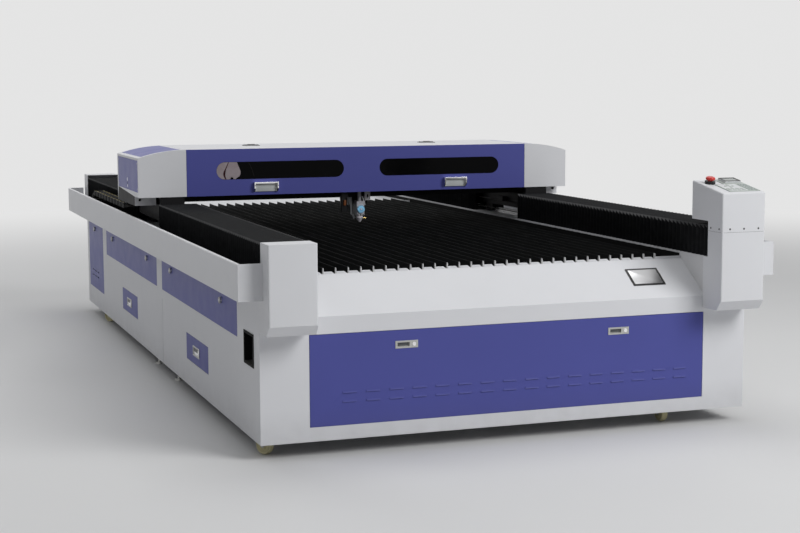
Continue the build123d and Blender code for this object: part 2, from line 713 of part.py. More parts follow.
def drawer(span):
    """Scrap drawer: a face flush with the skin and a tray behind it."""
    front = span[0] + DOOR_GAP
    back = span[1] - DOOR_GAP
    tray_bottom = DRAWER_BOTTOM + DRAWER_LIFT + SEAT_GAP
    tray_front = front + TRAY_INSET
    tray_back = back - TRAY_INSET
    face = block(-HALF, -HALF + SHEET, front, back, DRAWER_BOTTOM + DOOR_GAP, DRAWER_TOP - DOOR_GAP)
    start = -HALF + SHEET
    end = -HALF + DRAWER_DEPTH
    wall = DRAWER_SHEET
    tray = block(start, end, tray_front, tray_back, tray_bottom, DRAWER_TOP - TRAY_DROP)
    tray -= block(start + wall, end - wall, tray_front + wall, tray_back - wall, tray_bottom + wall,
                  DRAWER_TOP)
    return face + tray


def recess_pull():
    """Moulded hand pull let into the left skin."""
    flange = block(-HALF - PULL_WALL, -HALF, *PULL, PULL_BOTTOM, PULL_TOP)
    lip = PULL_LIP + SEAT_GAP
    body = block(-HALF, -HALF + PULL_DEPTH, PULL[0] + lip, PULL[1] - lip, PULL_BOTTOM + lip, PULL_TOP - lip)
    wall = lip + PULL_WALL
    mouth = -HALF - PULL_WALL - DEPTH_MARGIN
    pocket = block(mouth, -HALF + PULL_DEPTH - PULL_WALL, PULL[0] + wall, PULL[1] - wall,
                   PULL_BOTTOM + wall, PULL_TOP - wall)
    return flange + body - pocket


# Troughs and end covers


def trough():
    """Open cable trough on the left side with a rolled top edge and closed ends."""
    outer = HALF + TROUGH_WIDTH
    start = TROUGH_FRONT
    end = BASE_LENGTH + TROUGH_REAR_OVERHANG
    roll_z = TROUGH_TOP - ROLL_RADIUS
    wall = block(outer - SHEET, outer, start, end, TROUGH_BOTTOM, roll_z)
    floor = block(HALF, outer, start, end, TROUGH_BOTTOM, TROUGH_BOTTOM + SHEET)
    upstand = block(HALF, HALF + SHEET, start, end, TROUGH_BOTTOM, TROUGH_BOTTOM + TROUGH_UPSTAND)
    middle = (start + end) / 2
    ring = Cylinder(ROLL_RADIUS, end - start) - Cylinder(ROLL_RADIUS - SHEET, end - start + 2 * DEPTH_MARGIN)
    ring = Pos(outer - ROLL_RADIUS, at(middle), roll_z) * Rotation(90, 0, 0) * ring
    margin = 2 * DEPTH_MARGIN
    ring -= block(outer - 3 * ROLL_RADIUS, outer + margin, start - margin, end + margin,
                  roll_z - 2 * ROLL_RADIUS, roll_z)
    inner = outer - 2 * ROLL_RADIUS
    lip = block(inner, inner + SHEET, start, end, roll_z - ROLL_RADIUS, roll_z)
    channel = wall + floor + upstand + ring + lip
    for back in (start, end - SHEET):
        plate = block(HALF, outer, back, back + SHEET, TROUGH_BOTTOM, TROUGH_TOP)
        plate = fillet(plate.edges().filter_by(Axis.Y).group_by(Axis.Z)[-1].group_by(Axis.X)[-1], ROLL_RADIUS)
        channel += plate
    return channel


def front_cover_shell(width, top, back_top):
    """Hollow corner cover with a bevelled foot, centred on X zero and open behind."""
    points = [(-TOWER_PROUD, COVER_FACE_BOTTOM), (-TOWER_PROUD, top), (back_top, top), (back_top, BEAM_TOP),
              (0, BEAM_TOP), (0, COVER_BOTTOM), (CHAMFER_DEPTH - TOWER_PROUD, COVER_BOTTOM)]
    return prism_x(points, -width / 2, width / 2)


def hollow_cover(width, top, back_top):
    shell = front_cover_shell(width, top, back_top)
    face = shell.faces().filter_by(Axis.Y).sort_by(Axis.Y)[0]
    shell = fillet(face.edges().filter_by(Axis.Z), EDGE_RADIUS)
    bevel = SHEET / 2
    behind = back_top + DEPTH_MARGIN
    inner = [(SHEET - TOWER_PROUD, COVER_FACE_BOTTOM + bevel), (SHEET - TOWER_PROUD, top - SHEET),
             (behind, top - SHEET), (behind, BEAM_TOP - SHEET), (-SHEET, BEAM_TOP - SHEET),
             (-SHEET, COVER_BOTTOM + SHEET), (CHAMFER_DEPTH - TOWER_PROUD + bevel, COVER_BOTTOM + SHEET)]
    return shell - prism_x(inner, SHEET - width / 2, width / 2 - SHEET)


def rear_cover():
    """Cover over the long-axis motor, open towards the bellows and below."""
    side = HALF - COVER_WIDTH
    start, end = REAR_COVER
    box = block(side, HALF, start, end, REAR_COVER_BOTTOM, REAR_COVER_TOP)
    box = fillet(box.edges().filter_by(Axis.X).group_by(Axis.Z)[-1], EDGE_RADIUS)
    inner = block(side + SHEET, HALF - SHEET, start - DEPTH_MARGIN, end - SHEET,
                  REAR_COVER_BOTTOM - DEPTH_MARGIN, REAR_COVER_TOP - SHEET)
    return box - inner


def end_covers():
    front = Pos(COVER_WIDTH / 2 - HALF, 0, 0) * hollow_cover(COVER_WIDTH, COVER_TOP, BELLOWS_START)
    return [front] + pair(rear_cover())


def tower_base():
    """Lower half of the control tower, open at its joint with the upper one."""
    shell = hollow_cover(TOWER_WIDTH, TOWER_JOINT + SHEET, BELLOWS_START)
    roof = block(-TOWER_WIDTH, TOWER_WIDTH, -TOWER_PROUD - DEPTH_MARGIN, DEPTH_MARGIN, TOWER_JOINT,
                 TOWER_JOINT + 2 * SHEET)
    return Pos(HALF - TOWER_WIDTH / 2, 0, 0) * (shell - roof)


def tower_top():
    """Upper half of the control tower: a sloping desk that reaches back over the bellows."""
    outline = [(-TOWER_PROUD, TOWER_JOINT), (-TOWER_PROUD, TOWER_FACE_TOP), (TOWER_REAR, TOWER_REAR_TOP),
               (TOWER_REAR, TOWER_NOTCH_TOP), (BELLOWS_START, TOWER_NOTCH_TOP), (BELLOWS_START, TOWER_JOINT)]
    right = HALF
    left = HALF - TOWER_WIDTH
    shell = prism_x(outline, left, right)
    shell = fillet(shell.faces().sort_by(Axis.Y)[0].edges().filter_by(Axis.Z), EDGE_RADIUS)
    desk = [face for face in shell.faces() if face.normal_at().Z > 0.9 and face.area > 9000]
    shell = fillet(desk[0].edges().filter_by(Axis.X), EDGE_RADIUS)
    front = SHEET - TOWER_PROUD
    rear = TOWER_REAR - SHEET
    step = BELLOWS_START - SHEET
    foot = TOWER_JOINT - DEPTH_MARGIN
    drop = SHEET + DESK_INSET
    inner = [(front, foot), (front, TOWER_FACE_TOP - drop), (rear, TOWER_REAR_TOP - drop),
             (rear, TOWER_NOTCH_TOP + SHEET), (step, TOWER_NOTCH_TOP + SHEET), (step, foot)]
    return shell - prism_x(inner, left + SHEET, right - SHEET)


def desk_plane(x, back):
    """Work plane on the tower's sloping top, with its own Z square to the slope."""
    rise = TOWER_REAR_TOP - TOWER_FACE_TOP
    run = TOWER_REAR + TOWER_PROUD
    z = TOWER_FACE_TOP + (back + TOWER_PROUD) * rise / run
    angle = math.atan2(rise, run)
    return Plane(origin=(x, at(back), z), x_dir=(1, 0, 0), z_dir=(0, -math.sin(angle), math.cos(angle)))


def desk_plate(x, back, width, length):
    """Thin plate that lies on the desk."""
    return desk_plane(x, back) * Pos(0, 0, FACE_SHEET / 2) * Box(width, length, FACE_SHEET)


def control_face():
    """Membrane keypad and, behind it, the display block on its own plate."""
    keypad = desk_plate(KEYPAD_X, KEYPAD_BACK, *KEYPAD_SIZE)
    upper = desk_plate(DISPLAY_X, DISPLAY_PLATE_BACK, *DISPLAY_PLATE_SIZE)
    place = desk_plane(DISPLAY_X, DISPLAY_BACK)
    bezel = place * Pos(0, 0, BEZEL_SIZE[2] / 2) * Box(*BEZEL_SIZE)
    glass = place * Pos(0, 0, BEZEL_SIZE[2]) * Box(*DISPLAY_GLASS_SIZE)
    return keypad + upper + bezel - glass


def estop_collar():
    height = ESTOP_COLLAR_HEIGHT
    bore = Cylinder(ESTOP_STEM_RADIUS + RUNNING_FIT, height + 2 * DEPTH_MARGIN)
    ring = Cylinder(ESTOP_COLLAR_RADIUS, height) - bore
    return desk_plane(ESTOP_X, ESTOP_BACK) * Pos(0, 0, height / 2) * ring


def estop_button():
    """Mushroom head on a stem that runs in the collar."""
    lift = ESTOP_COLLAR_HEIGHT + ESTOP_TRAVEL + DEPTH_MARGIN
    head = Pos(0, 0, lift + ESTOP_BUTTON_HEIGHT / 2) * Cylinder(ESTOP_BUTTON_RADIUS, ESTOP_BUTTON_HEIGHT)
    head = fillet(head.edges().filter_by(GeomType.CIRCLE).sort_by(Axis.Z)[-1], ESTOP_BUTTON_HEIGHT / 3)
    foot = ESTOP_TRAVEL + 2 * DEPTH_MARGIN
    stem = Pos(0, 0, (lift + foot) / 2) * Cylinder(ESTOP_STEM_RADIUS, lift - foot)
    return desk_plane(ESTOP_X, ESTOP_BACK) * (head + stem)


def power_supply():
    """Laser power supply on the shelf behind the front door, with a vent grille."""
    shelf = FRAME_BOTTOM + TUBE + SHELF_SHEET
    half = SUPPLY_WIDTH / 2
    front = SUPPLY_BACK
    case = block(SUPPLY_X - half, SUPPLY_X + half, front, front + SUPPLY_DEPTH, shelf, shelf + SUPPLY_HEIGHT)
    first = SUPPLY_X - VENT_PITCH * (VENT_COUNT - 1) / 2
    for column in range(VENT_COUNT):
        x = first + column * VENT_PITCH
        for row in VENT_ROWS:
            case -= block(x - VENT_LENGTH / 2, x + VENT_LENGTH / 2, front - DEPTH_MARGIN, front + VENT_DEPTH,
                          shelf + row, shelf + row + VENT_HEIGHT)
    return case


# Long-axis drive


def rail_profile(width, height):
    """Section of a guide rail: a foot, a waist and a head."""
    half = width / 2
    waist = half - width / 8
    return [(-half, 0), (half, 0), (half, height * 0.35), (waist, height * 0.5), (waist, height * 0.65),
            (half, height * 0.8), (half, height), (-half, height), (-half, height * 0.8),
            (-waist, height * 0.65), (-waist, height * 0.5), (-half, height * 0.35)]


def y_rail():
    points = [(RAIL_X + x, BEAM_TOP + z) for x, z in rail_profile(RAIL_WIDTH, RAIL_HEIGHT)]
    return prism_y(points, RAIL_START, RAIL_END)


def y_belt():
    """Closed belt round the idler and the drive pulley of one side."""
    span = DRIVE_BACK - IDLER_BACK
    inner = PULLEY_RADIUS + SEAT_GAP
    outer = inner + BELT_THICKNESS
    loop = SlotCenterToCenter(span, 2 * outer) - SlotCenterToCenter(span, 2 * inner)
    middle = at((DRIVE_BACK + IDLER_BACK) / 2)
    place = Plane(origin=(BELT_X, middle, PULLEY_HEIGHT), x_dir=(0, 1, 0), z_dir=(1, 0, 0))
    return extrude(place * loop, BELT_WIDTH / 2, both=True)


def y_idler():
    """Flanged idler pulley on the stub axle."""
    half = PULLEY_WIDTH / 2
    pulley = rod_x(BELT_X - half, BELT_X + half, IDLER_BACK, PULLEY_HEIGHT, PULLEY_RADIUS)
    bore = rod_x(BELT_X - half - DEPTH_MARGIN, BELT_X + half + DEPTH_MARGIN, IDLER_BACK, PULLEY_HEIGHT,
                 SHAFT_RADIUS + RUNNING_FIT)
    return pulley - bore


def y_drive_pulley():
    """Drive pulley with the motor shaft that turns it."""
    half = PULLEY_WIDTH / 2
    pulley = rod_x(BELT_X - half, BELT_X + half, DRIVE_BACK, PULLEY_HEIGHT, PULLEY_RADIUS)
    shaft_end = MOTOR_OUTER_X - MOTOR_LENGTH + SHAFT_BORE_DEPTH - DEPTH_MARGIN
    return pulley + rod_x(BELT_X + half, shaft_end, DRIVE_BACK, PULLEY_HEIGHT, SHAFT_RADIUS)


def y_motor():
    """Foot-mounted motor behind the rear end of the side beam."""
    outer = MOTOR_OUTER_X
    inner = outer - MOTOR_LENGTH
    half = MOTOR_SIZE / 2
    rear = DRIVE_BACK + half
    low = PULLEY_HEIGHT - half
    body = block(inner, outer, DRIVE_BACK - half, rear, low, PULLEY_HEIGHT + half)
    body = chamfer(body.edges().filter_by(Axis.X), MOTOR_CHAMFER)
    foot = block(inner, outer, RAIL_END + IDLER_BRACKET / 4, rear, BEAM_TOP, low)
    bore = rod_x(inner - DEPTH_MARGIN, inner + SHAFT_BORE_DEPTH, DRIVE_BACK, PULLEY_HEIGHT,
                 SHAFT_RADIUS + RUNNING_FIT)
    return body + foot - bore


# Bellows


def zigzag(start, end, outer, inner):
    """Points of a folded edge between two levels, from start to end."""
    folds = max(2, round((end - start) / BELLOWS_PITCH))
    step = (end - start) / (2 * folds)
    return [(start + index * step, inner if index % 2 == 0 else outer) for index in range(2 * folds + 1)]


def folded_solid(start, end, inset):
    """Solid with folded top and sides, moved inwards by inset on every fold."""
    half = BELLOWS_WIDTH / 2
    top = zigzag(start, end, BELLOWS_TOP - inset, BELLOWS_TOP - BELLOWS_FOLD - inset)
    bottom = BEAM_TOP + SEAT_GAP - (DEPTH_MARGIN if inset else 0)
    upper = prism_x([(start, bottom)] + top + [(end, bottom)], RAIL_X - half, RAIL_X + half)
    side = zigzag(start, end, half - inset, half - BELLOWS_FOLD - inset)
    plan = [(RAIL_X + x, at(back)) for back, x in side]
    plan += [(RAIL_X - x, at(back)) for back, x in reversed(side)]
    walls = Pos(0, 0, bottom) * extrude(make_face(Polyline(*plan, close=True)), BELLOWS_TOP - bottom)
    return upper & walls


def bellows(start, end):
    outer = folded_solid(start + SEAT_GAP, end - SEAT_GAP, 0)
    return outer - folded_solid(start + SEAT_GAP, end - SEAT_GAP, BELLOWS_CLOTH * 1.4)


# Gantry


def bearing_block(back):
    """Carriage block astride the guide rail."""
    half = BLOCK_WIDTH / 2
    body = block(RAIL_X - half, RAIL_X + half, back, back + BLOCK_LENGTH, BEAM_TOP + BLOCK_LIFT, BLOCK_TOP)
    slot = RAIL_WIDTH / 2 + SEAT_GAP
    return body - block(RAIL_X - slot, RAIL_X + slot, back - DEPTH_MARGIN, back + BLOCK_LENGTH + DEPTH_MARGIN,
                        BEAM_TOP, BEAM_TOP + RAIL_HEIGHT + SEAT_GAP)


def gantry_foot():
    """Riser on two bearing blocks, with rests for the cover and the belt clamp."""
    front = GANTRY_FRONT
    rear = GANTRY_FRONT + GANTRY_DEPTH
    riser = tube_along_y(FOOT_INNER, FOOT_OUTER, front, rear, BLOCK_TOP, CROSS_BEAM_BOTTOM, BEAM_WALL)
    riser += bearing_block(front + BLOCK_INSET)
    riser += bearing_block(rear - BLOCK_INSET - BLOCK_LENGTH)
    for back in (front + REST_INSET, rear - REST_INSET - REST_LENGTH):
        riser += block(FOOT_INNER, FOOT_OUTER, back, back + REST_LENGTH, CROSS_BEAM_BOTTOM, GANTRY_BOTTOM)
    belt_top = PULLEY_HEIGHT + PULLEY_RADIUS + SEAT_GAP + BELT_THICKNESS
    middle = (front + rear) / 2
    half = CLAMP_LENGTH / 2
    riser += block(BELT_X - PULLEY_WIDTH / 2, FOOT_INNER, middle - half, middle + half, belt_top + SEAT_GAP,
                   belt_top + CLAMP_HEIGHT)
    return riser


def gantry_beam():
    """Box beam across the machine, with the laser tube's cradles and the idler's axle."""
    front = GANTRY_FRONT + CROSS_BEAM_BACK
    rear = front + CROSS_BEAM_DEPTH
    beam = tube_along_x(-FOOT_OUTER, FOOT_OUTER, front, rear, CROSS_BEAM_BOTTOM, CROSS_BEAM_TOP, BEAM_WALL)
    laser = GANTRY_FRONT + LASER_BACK
    half = CRADLE_WIDTH / 2
    low = CROSS_BEAM_TOP - CRADLE_DROP
    for x in (-CRADLE_X, CRADLE_X):
        cradle = block(x - half, x + half, rear, laser + CRADLE_REACH, low, OPTIC_HEIGHT - CRADLE_LIP)
        reach = half + DEPTH_MARGIN
        bore = rod_x(x - reach, x + reach, laser, OPTIC_HEIGHT, LASER_RADIUS + SEAT_GAP)
        beam += cradle - bore
    axle_front = front - X_BELT_FRONT - X_PULLEY_WIDTH / 2
    return beam + rod_y(-X_PULLEY_X, axle_front, front, X_BELT_Z, X_AXLE_RADIUS)


def cover_outline(inset):
    """End-on outline of the gantry cover: flat top that curves down to both ends."""
    half = HALF + TROUGH_WIDTH - inset
    flat = HALF + TROUGH_WIDTH - CHEEK_WIDTH
    top = GANTRY_TOP - inset
    end_top = GANTRY_END_TOP - inset
    drop = top - end_top
    radius = ((half - flat) ** 2 + drop ** 2) / (2 * drop)
    mid_angle = 0.5 * math.asin((half - flat) / radius)
    mid = (flat + radius * math.sin(mid_angle), top - radius * (1 - math.cos(mid_angle)))
    bottom = GANTRY_BOTTOM - (DEPTH_MARGIN if inset else 0)
    edges = [
        Line((-half, bottom), (half, bottom)),
        Line((half, bottom), (half, end_top)),
        ThreePointArc((half, end_top), mid, (flat, top)),
        Line((flat, top), (-flat, top)),
        ThreePointArc((-flat, top), (-mid[0], mid[1]), (-half, end_top)),
        Line((-half, end_top), (-half, bottom)),
    ]
    return make_face(edges)


def cover_solid(inset, back0, back1):
    place = Plane(origin=(0, at(back1), 0), x_dir=(1, 0, 0), z_dir=(0, -1, 0))
    return extrude(place * cover_outline(inset), back1 - back0, dir=(0, -1, 0))


def end_panel_windows(gap):
    """Cutters for the side hatch and the curved top hatch of the cover's right end."""
    front = GANTRY_FRONT
    rear = GANTRY_FRONT + GANTRY_DEPTH
    end = HALF + TROUGH_WIDTH
    side = block(end - 3 * SHEET, end + DEPTH_MARGIN, front + HATCH_FRONT + gap, rear - HATCH_EDGE - gap,
                 GANTRY_BOTTOM + HATCH_EDGE + gap, GANTRY_END_TOP - HATCH_FRONT - gap)
    flat = end - CHEEK_WIDTH
    edge = HATCH_EDGE + gap
    top = block(flat + HATCH_INNER + gap, end - HATCH_OUTER - gap, front + edge, rear - edge,
                GANTRY_END_TOP - 5 * SHEET, GANTRY_TOP + DEPTH_MARGIN)
    return side, top


def gantry_cover():
    """White shell of the gantry: cheeks, curved ends, back and the fixed strip of the top."""
    front = GANTRY_FRONT
    rear = GANTRY_FRONT + GANTRY_DEPTH
    shell = cover_solid(0, front, rear) - cover_solid(SHEET, front + SHEET, rear - SHEET)
    lid_half = HALF + TROUGH_WIDTH - CHEEK_WIDTH
    shell -= block(-lid_half, lid_half, front - DEPTH_MARGIN, front + LID_BACK, GANTRY_BOTTOM - DEPTH_MARGIN,
                   GANTRY_TOP + DEPTH_MARGIN)
    for cutter in end_panel_windows(0):
        shell -= cutter
        shell -= other_side(cutter)
    end = HALF + TROUGH_WIDTH
    flange_top = GANTRY_BOTTOM + SHEET
    shell += block(-end + SHEET, end - SHEET, rear - FLANGE_WIDTH, rear - SHEET, GANTRY_BOTTOM, flange_top)
    cheek = block(lid_half, end - SHEET, front + SHEET, front + FLANGE_WIDTH, GANTRY_BOTTOM, flange_top)
    shell += pair(cheek)
    shell += pair(cover_bracket())
    return shell


def cover_bracket():
    """Folded bracket under each end of the cover; the left one carries the drag chain."""
    end = HALF + TROUGH_WIDTH
    inner = end - BRACKET_WIDTH
    front = GANTRY_FRONT + BRACKET_BACK
    rear = GANTRY_FRONT + GANTRY_DEPTH
    face = block(inner, end, front, front + BRACKET_SHEET, BRACKET_BOTTOM, GANTRY_BOTTOM)
    face -= rod_y(end - BRACKET_HOLE_INSET, front - DEPTH_MARGIN, front + BRACKET_SHEET + DEPTH_MARGIN,
                  BRACKET_BOTTOM + BRACKET_HOLE_RISE, BRACKET_HOLE_RADIUS)
    floor = block(inner, end, front, rear, BRACKET_BOTTOM, BRACKET_BOTTOM + BRACKET_SHEET)
    upright = block(end - SHEET, end, front, rear, BRACKET_BOTTOM, GANTRY_BOTTOM)
    chain_top = TROUGH_BOTTOM + SHEET + CHAIN_LIFT + CHAIN_HEIGHT + 2 * CHAIN_RADIUS + SEAT_GAP
    middle = CHAIN_MOVING + CHAIN_HEIGHT * 0.7
    reach = CHAIN_WIDTH / 3
    lug = block(-CHAIN_X - reach, -CHAIN_X + reach, middle - reach, middle + reach, chain_top, BRACKET_BOTTOM)
    return face + floor + upright + lug


def end_panels():
    """Hatches let into the ends of the cover, two at the sides and two in the curved top."""
    front = GANTRY_FRONT
    rear = GANTRY_FRONT + GANTRY_DEPTH
    skin = cover_solid(0, front, rear) - cover_solid(SHEET, front + SHEET, rear - SHEET)
    side, top = end_panel_windows(SEAT_GAP)
    return pair(skin & side) + pair(skin & top)


def gantry_lid():
    """Lifting lid: the blue front with two window slots, folded over into the top."""
    front = GANTRY_FRONT
    half = HALF + TROUGH_WIDTH - CHEEK_WIDTH - DEPTH_MARGIN
    back = front + LID_BACK - DEPTH_MARGIN
    body = block(-half, half, front, back, GANTRY_BOTTOM, GANTRY_TOP)
    margin = DEPTH_MARGIN
    below = GANTRY_BOTTOM - margin
    behind = back + margin
    body -= block(-half + SHEET, half - SHEET, front + SHEET, behind, below, GANTRY_TOP - SHEET)
    body -= block(-half - margin, half + margin, front + LID_EDGE, behind, below, GANTRY_TOP - LID_EDGE)
    body += block(-half + SHEET, half - SHEET, front + SHEET, front + LID_EDGE, GANTRY_BOTTOM,
                  GANTRY_BOTTOM + SHEET)
    slot = Plane(origin=(0, at(front) + 2 * SHEET, WINDOW_Z), x_dir=(1, 0, 0), z_dir=(0, -1, 0))
    for x in (-WINDOW_X, WINDOW_X):
        shape = Pos(x, 0) * SlotOverall(WINDOW_LENGTH, WINDOW_HEIGHT)
        body -= extrude(slot * shape, 4 * SHEET, dir=(0, -1, 0))
    return body + lid_leaf(-HINGE_X) + lid_leaf(HINGE_X)


def lid_windows():
    """Dark acrylic panes behind the slots of the lid."""
    front = GANTRY_FRONT + SHEET
    place = Plane(origin=(0, at(front + PANE_SHEET), WINDOW_Z), x_dir=(1, 0, 0), z_dir=(0, -1, 0))
    pane = SlotOverall(WINDOW_LENGTH + PANE_MARGIN, WINDOW_HEIGHT + PANE_MARGIN)
    return [extrude(place * (Pos(x, 0) * pane), PANE_SHEET, dir=(0, -1, 0)) for x in (-WINDOW_X, WINDOW_X)]


def lid_handle():
    """Cup handle: a back plate, two cheeks and a thick upper grip."""
    front = GANTRY_FRONT
    low = HANDLE_BOTTOM
    high = HANDLE_BOTTOM + HANDLE_HEIGHT
    left = HANDLE_X - HANDLE_WIDTH / 2
    right = HANDLE_X + HANDLE_WIDTH / 2
    body = block(left, right, front - HANDLE_DEPTH, front, low, high)
    body = chamfer(body.edges().filter_by(Axis.X).group_by(Axis.Y)[0].sort_by(Axis.Z)[0], HANDLE_DEPTH * 0.6)
    inside = block(left + HANDLE_WALL, right - HANDLE_WALL, front - HANDLE_DEPTH - DEPTH_MARGIN,
                   front - HANDLE_BACK_SHEET, low - DEPTH_MARGIN, high - HANDLE_WALL)
    return body - inside


def lid_hinge(x):
    """Fixed leaf with the middle knuckle, screwed to the strip behind the lid."""
    back = GANTRY_FRONT + LID_BACK
    half = HINGE_LENGTH / 2
    clear = HINGE_RADIUS + HINGE_GAP
    middle = HINGE_LENGTH / 4 - SEAT_GAP
    leaf = block(x - half, x + half, back + clear, back + LEAF_DEPTH, GANTRY_TOP, GANTRY_TOP + LEAF_SHEET)
    web = block(x - middle, x + middle, back, back + clear, GANTRY_TOP, GANTRY_TOP + LEAF_SHEET)
    knuckle = rod_x(x - middle, x + middle, back, GANTRY_TOP + HINGE_RADIUS, HINGE_RADIUS)
    return leaf + web + knuckle


def lid_leaf(x):
    """The lid's own leaf with the two outer knuckles."""
    back = GANTRY_FRONT + LID_BACK
    half = HINGE_LENGTH / 2
    clear = HINGE_RADIUS + HINGE_GAP
    middle = HINGE_LENGTH / 4
    leaf = block(x - half, x + half, back - LEAF_DEPTH, back - clear, GANTRY_TOP, GANTRY_TOP + LEAF_SHEET)
    for start, end in ((x - half, x - middle), (x + middle, x + half)):
        leaf += block(start, end, back - clear, back, GANTRY_TOP, GANTRY_TOP + LEAF_SHEET)
        leaf += rod_x(start, end, back, GANTRY_TOP + HINGE_RADIUS, HINGE_RADIUS)
    return leaf


def laser_tube():
    """Glass laser tube with a metal cap and a narrow spigot at each end."""
    back = GANTRY_FRONT + LASER_BACK
    half = LASER_LENGTH / 2
    tube = rod_x(-half, half, back, OPTIC_HEIGHT, LASER_RADIUS)
    tube += rod_x(-half - LASER_CAP, -half, back, OPTIC_HEIGHT, LASER_RADIUS / 2)
    return tube + rod_x(half, half + LASER_CAP, back, OPTIC_HEIGHT, LASER_RADIUS / 2)


def x_rail():
    """Guide rail on the front face of the gantry beam."""
    front = GANTRY_FRONT + CROSS_BEAM_BACK
    profile = make_face(Polyline(*rail_profile(RAIL_WIDTH, RAIL_HEIGHT), close=True))
    place = Plane(origin=(-BED_WIDTH / 2, at(front), X_RAIL_Z), x_dir=(0, 0, 1), z_dir=(1, 0, 0))
    return extrude(place * profile, BED_WIDTH, dir=(1, 0, 0))


def x_belt():
    middle = GANTRY_FRONT + CROSS_BEAM_BACK - X_BELT_FRONT
    inner = X_PULLEY_RADIUS + SEAT_GAP
    outer = inner + BELT_THICKNESS
    loop = SlotCenterToCenter(2 * X_PULLEY_X, 2 * outer) - SlotCenterToCenter(2 * X_PULLEY_X, 2 * inner)
    place = Plane(origin=(0, at(middle), X_BELT_Z), x_dir=(1, 0, 0), z_dir=(0, -1, 0))
    return extrude(place * loop, X_BELT_WIDTH / 2, both=True)


def x_idler():
    middle = GANTRY_FRONT + CROSS_BEAM_BACK - X_BELT_FRONT
    half = X_PULLEY_WIDTH / 2
    pulley = rod_y(-X_PULLEY_X, middle - half, middle + half, X_BELT_Z, X_PULLEY_RADIUS)
    return pulley - rod_y(-X_PULLEY_X, middle - half - DEPTH_MARGIN, middle + half + DEPTH_MARGIN, X_BELT_Z,
                          X_AXLE_RADIUS + RUNNING_FIT)


def x_drive_pulley():
    """Belt pulley and its shaft, which runs in the cross motor's nose."""
    middle = GANTRY_FRONT + CROSS_BEAM_BACK - X_BELT_FRONT
    half = X_PULLEY_WIDTH / 2
    shaft_end = GANTRY_FRONT + CROSS_BEAM_BACK - X_MOTOR_NOSE - X_MOTOR_PLATE
    pulley = rod_y(X_PULLEY_X, middle - half, middle + half, X_BELT_Z, X_PULLEY_RADIUS)
    return pulley + rod_y(X_PULLEY_X, shaft_end, middle - half, X_BELT_Z, X_SHAFT_RADIUS)


def x_motor():
    """Cross motor on a bent plate that is bolted to the front of the beam."""
    beam = GANTRY_FRONT + CROSS_BEAM_BACK
    nose = beam - X_MOTOR_NOSE
    half = X_MOTOR_SIZE / 2
    low = X_BELT_Z - half
    high = X_BELT_Z + half
    edge = X_PULLEY_X + half + X_MOTOR_FLANGE
    body = block(X_PULLEY_X - half, X_PULLEY_X + half, nose - X_MOTOR_LENGTH, nose, low, high)
    body = chamfer(body.edges().filter_by(Axis.Y), X_MOTOR_CHAMFER)
    plate = block(X_PULLEY_X - half, edge, nose, nose + X_MOTOR_PLATE, low, high)
    web = block(edge - X_MOTOR_PLATE, edge, nose, beam, low, high)
    bore = rod_y(X_PULLEY_X, nose - X_MOTOR_PLATE - 3 * DEPTH_MARGIN, nose + X_MOTOR_PLATE + DEPTH_MARGIN,
                 X_BELT_Z, X_SHAFT_RADIUS + RUNNING_FIT)
    return body + plate + web - bore


def beam_mirrors():
    """Bridge plate at the left end with the two corner mirrors of the beam path."""
    x = -(LASER_LENGTH / 2 + MIRROR_OFFSET)
    half = MIRROR_SIZE / 2
    front = GANTRY_FRONT + HEAD_BACK
    rear = GANTRY_FRONT + LASER_BACK
    low = CROSS_BEAM_TOP + MIRROR_PLATE
    high = OPTIC_HEIGHT + half
    bridge = block(x - half, x + half, front - half, rear + half, CROSS_BEAM_TOP, low)
    for back, sign in ((front, 1), (rear, -1)):
        mount = block(x - half, x + half, back - half, back + half, low, high)
        cutter = Box(MIRROR_CUT, MIRROR_CUT, high - low + 2 * DEPTH_MARGIN)
        corner = Pos(x + half, at(back + sign * half), (low + high) / 2)
        bridge += mount - corner * Rotation(0, 0, 45) * cutter
    return bridge


# Laser head


def head_carriage():
    """Block on the cross rail and the plate that carries the optics."""
    beam = GANTRY_FRONT + CROSS_BEAM_BACK
    rail_front = beam - RAIL_HEIGHT
    slot = RAIL_WIDTH / 2 + SEAT_GAP
    half = CARRIAGE_WIDTH / 2
    plate_back = rail_front - CARRIAGE_WALL
    body = block(HEAD_X - half, HEAD_X + half, plate_back, beam - CARRIAGE_GAP, X_RAIL_Z - CARRIAGE_BELOW,
                 X_RAIL_Z + CARRIAGE_ABOVE)
    body -= block(HEAD_X - half - DEPTH_MARGIN, HEAD_X + half + DEPTH_MARGIN, rail_front - SEAT_GAP, beam,
                  X_RAIL_Z - slot, X_RAIL_Z + slot)
    plate = block(HEAD_X - PLATE_WIDTH / 2, HEAD_X + PLATE_WIDTH / 2, plate_back - PLATE_SHEET, plate_back,
                  CROSS_BEAM_BOTTOM - PLATE_BELOW_BEAM, OPTIC_HEIGHT - PLATE_BELOW_OPTICS)
    lug_top = X_BELT_Z - X_PULLEY_RADIUS - BELT_THICKNESS - 2 * SEAT_GAP
    belt_back = beam - X_BELT_FRONT + X_PULLEY_WIDTH / 2
    reach = BELT_LUG_WIDTH / 2
    lug = block(HEAD_X - reach, HEAD_X + reach, plate_back, belt_back, lug_top - BELT_LUG_HEIGHT, lug_top)
    return body + plate + lug


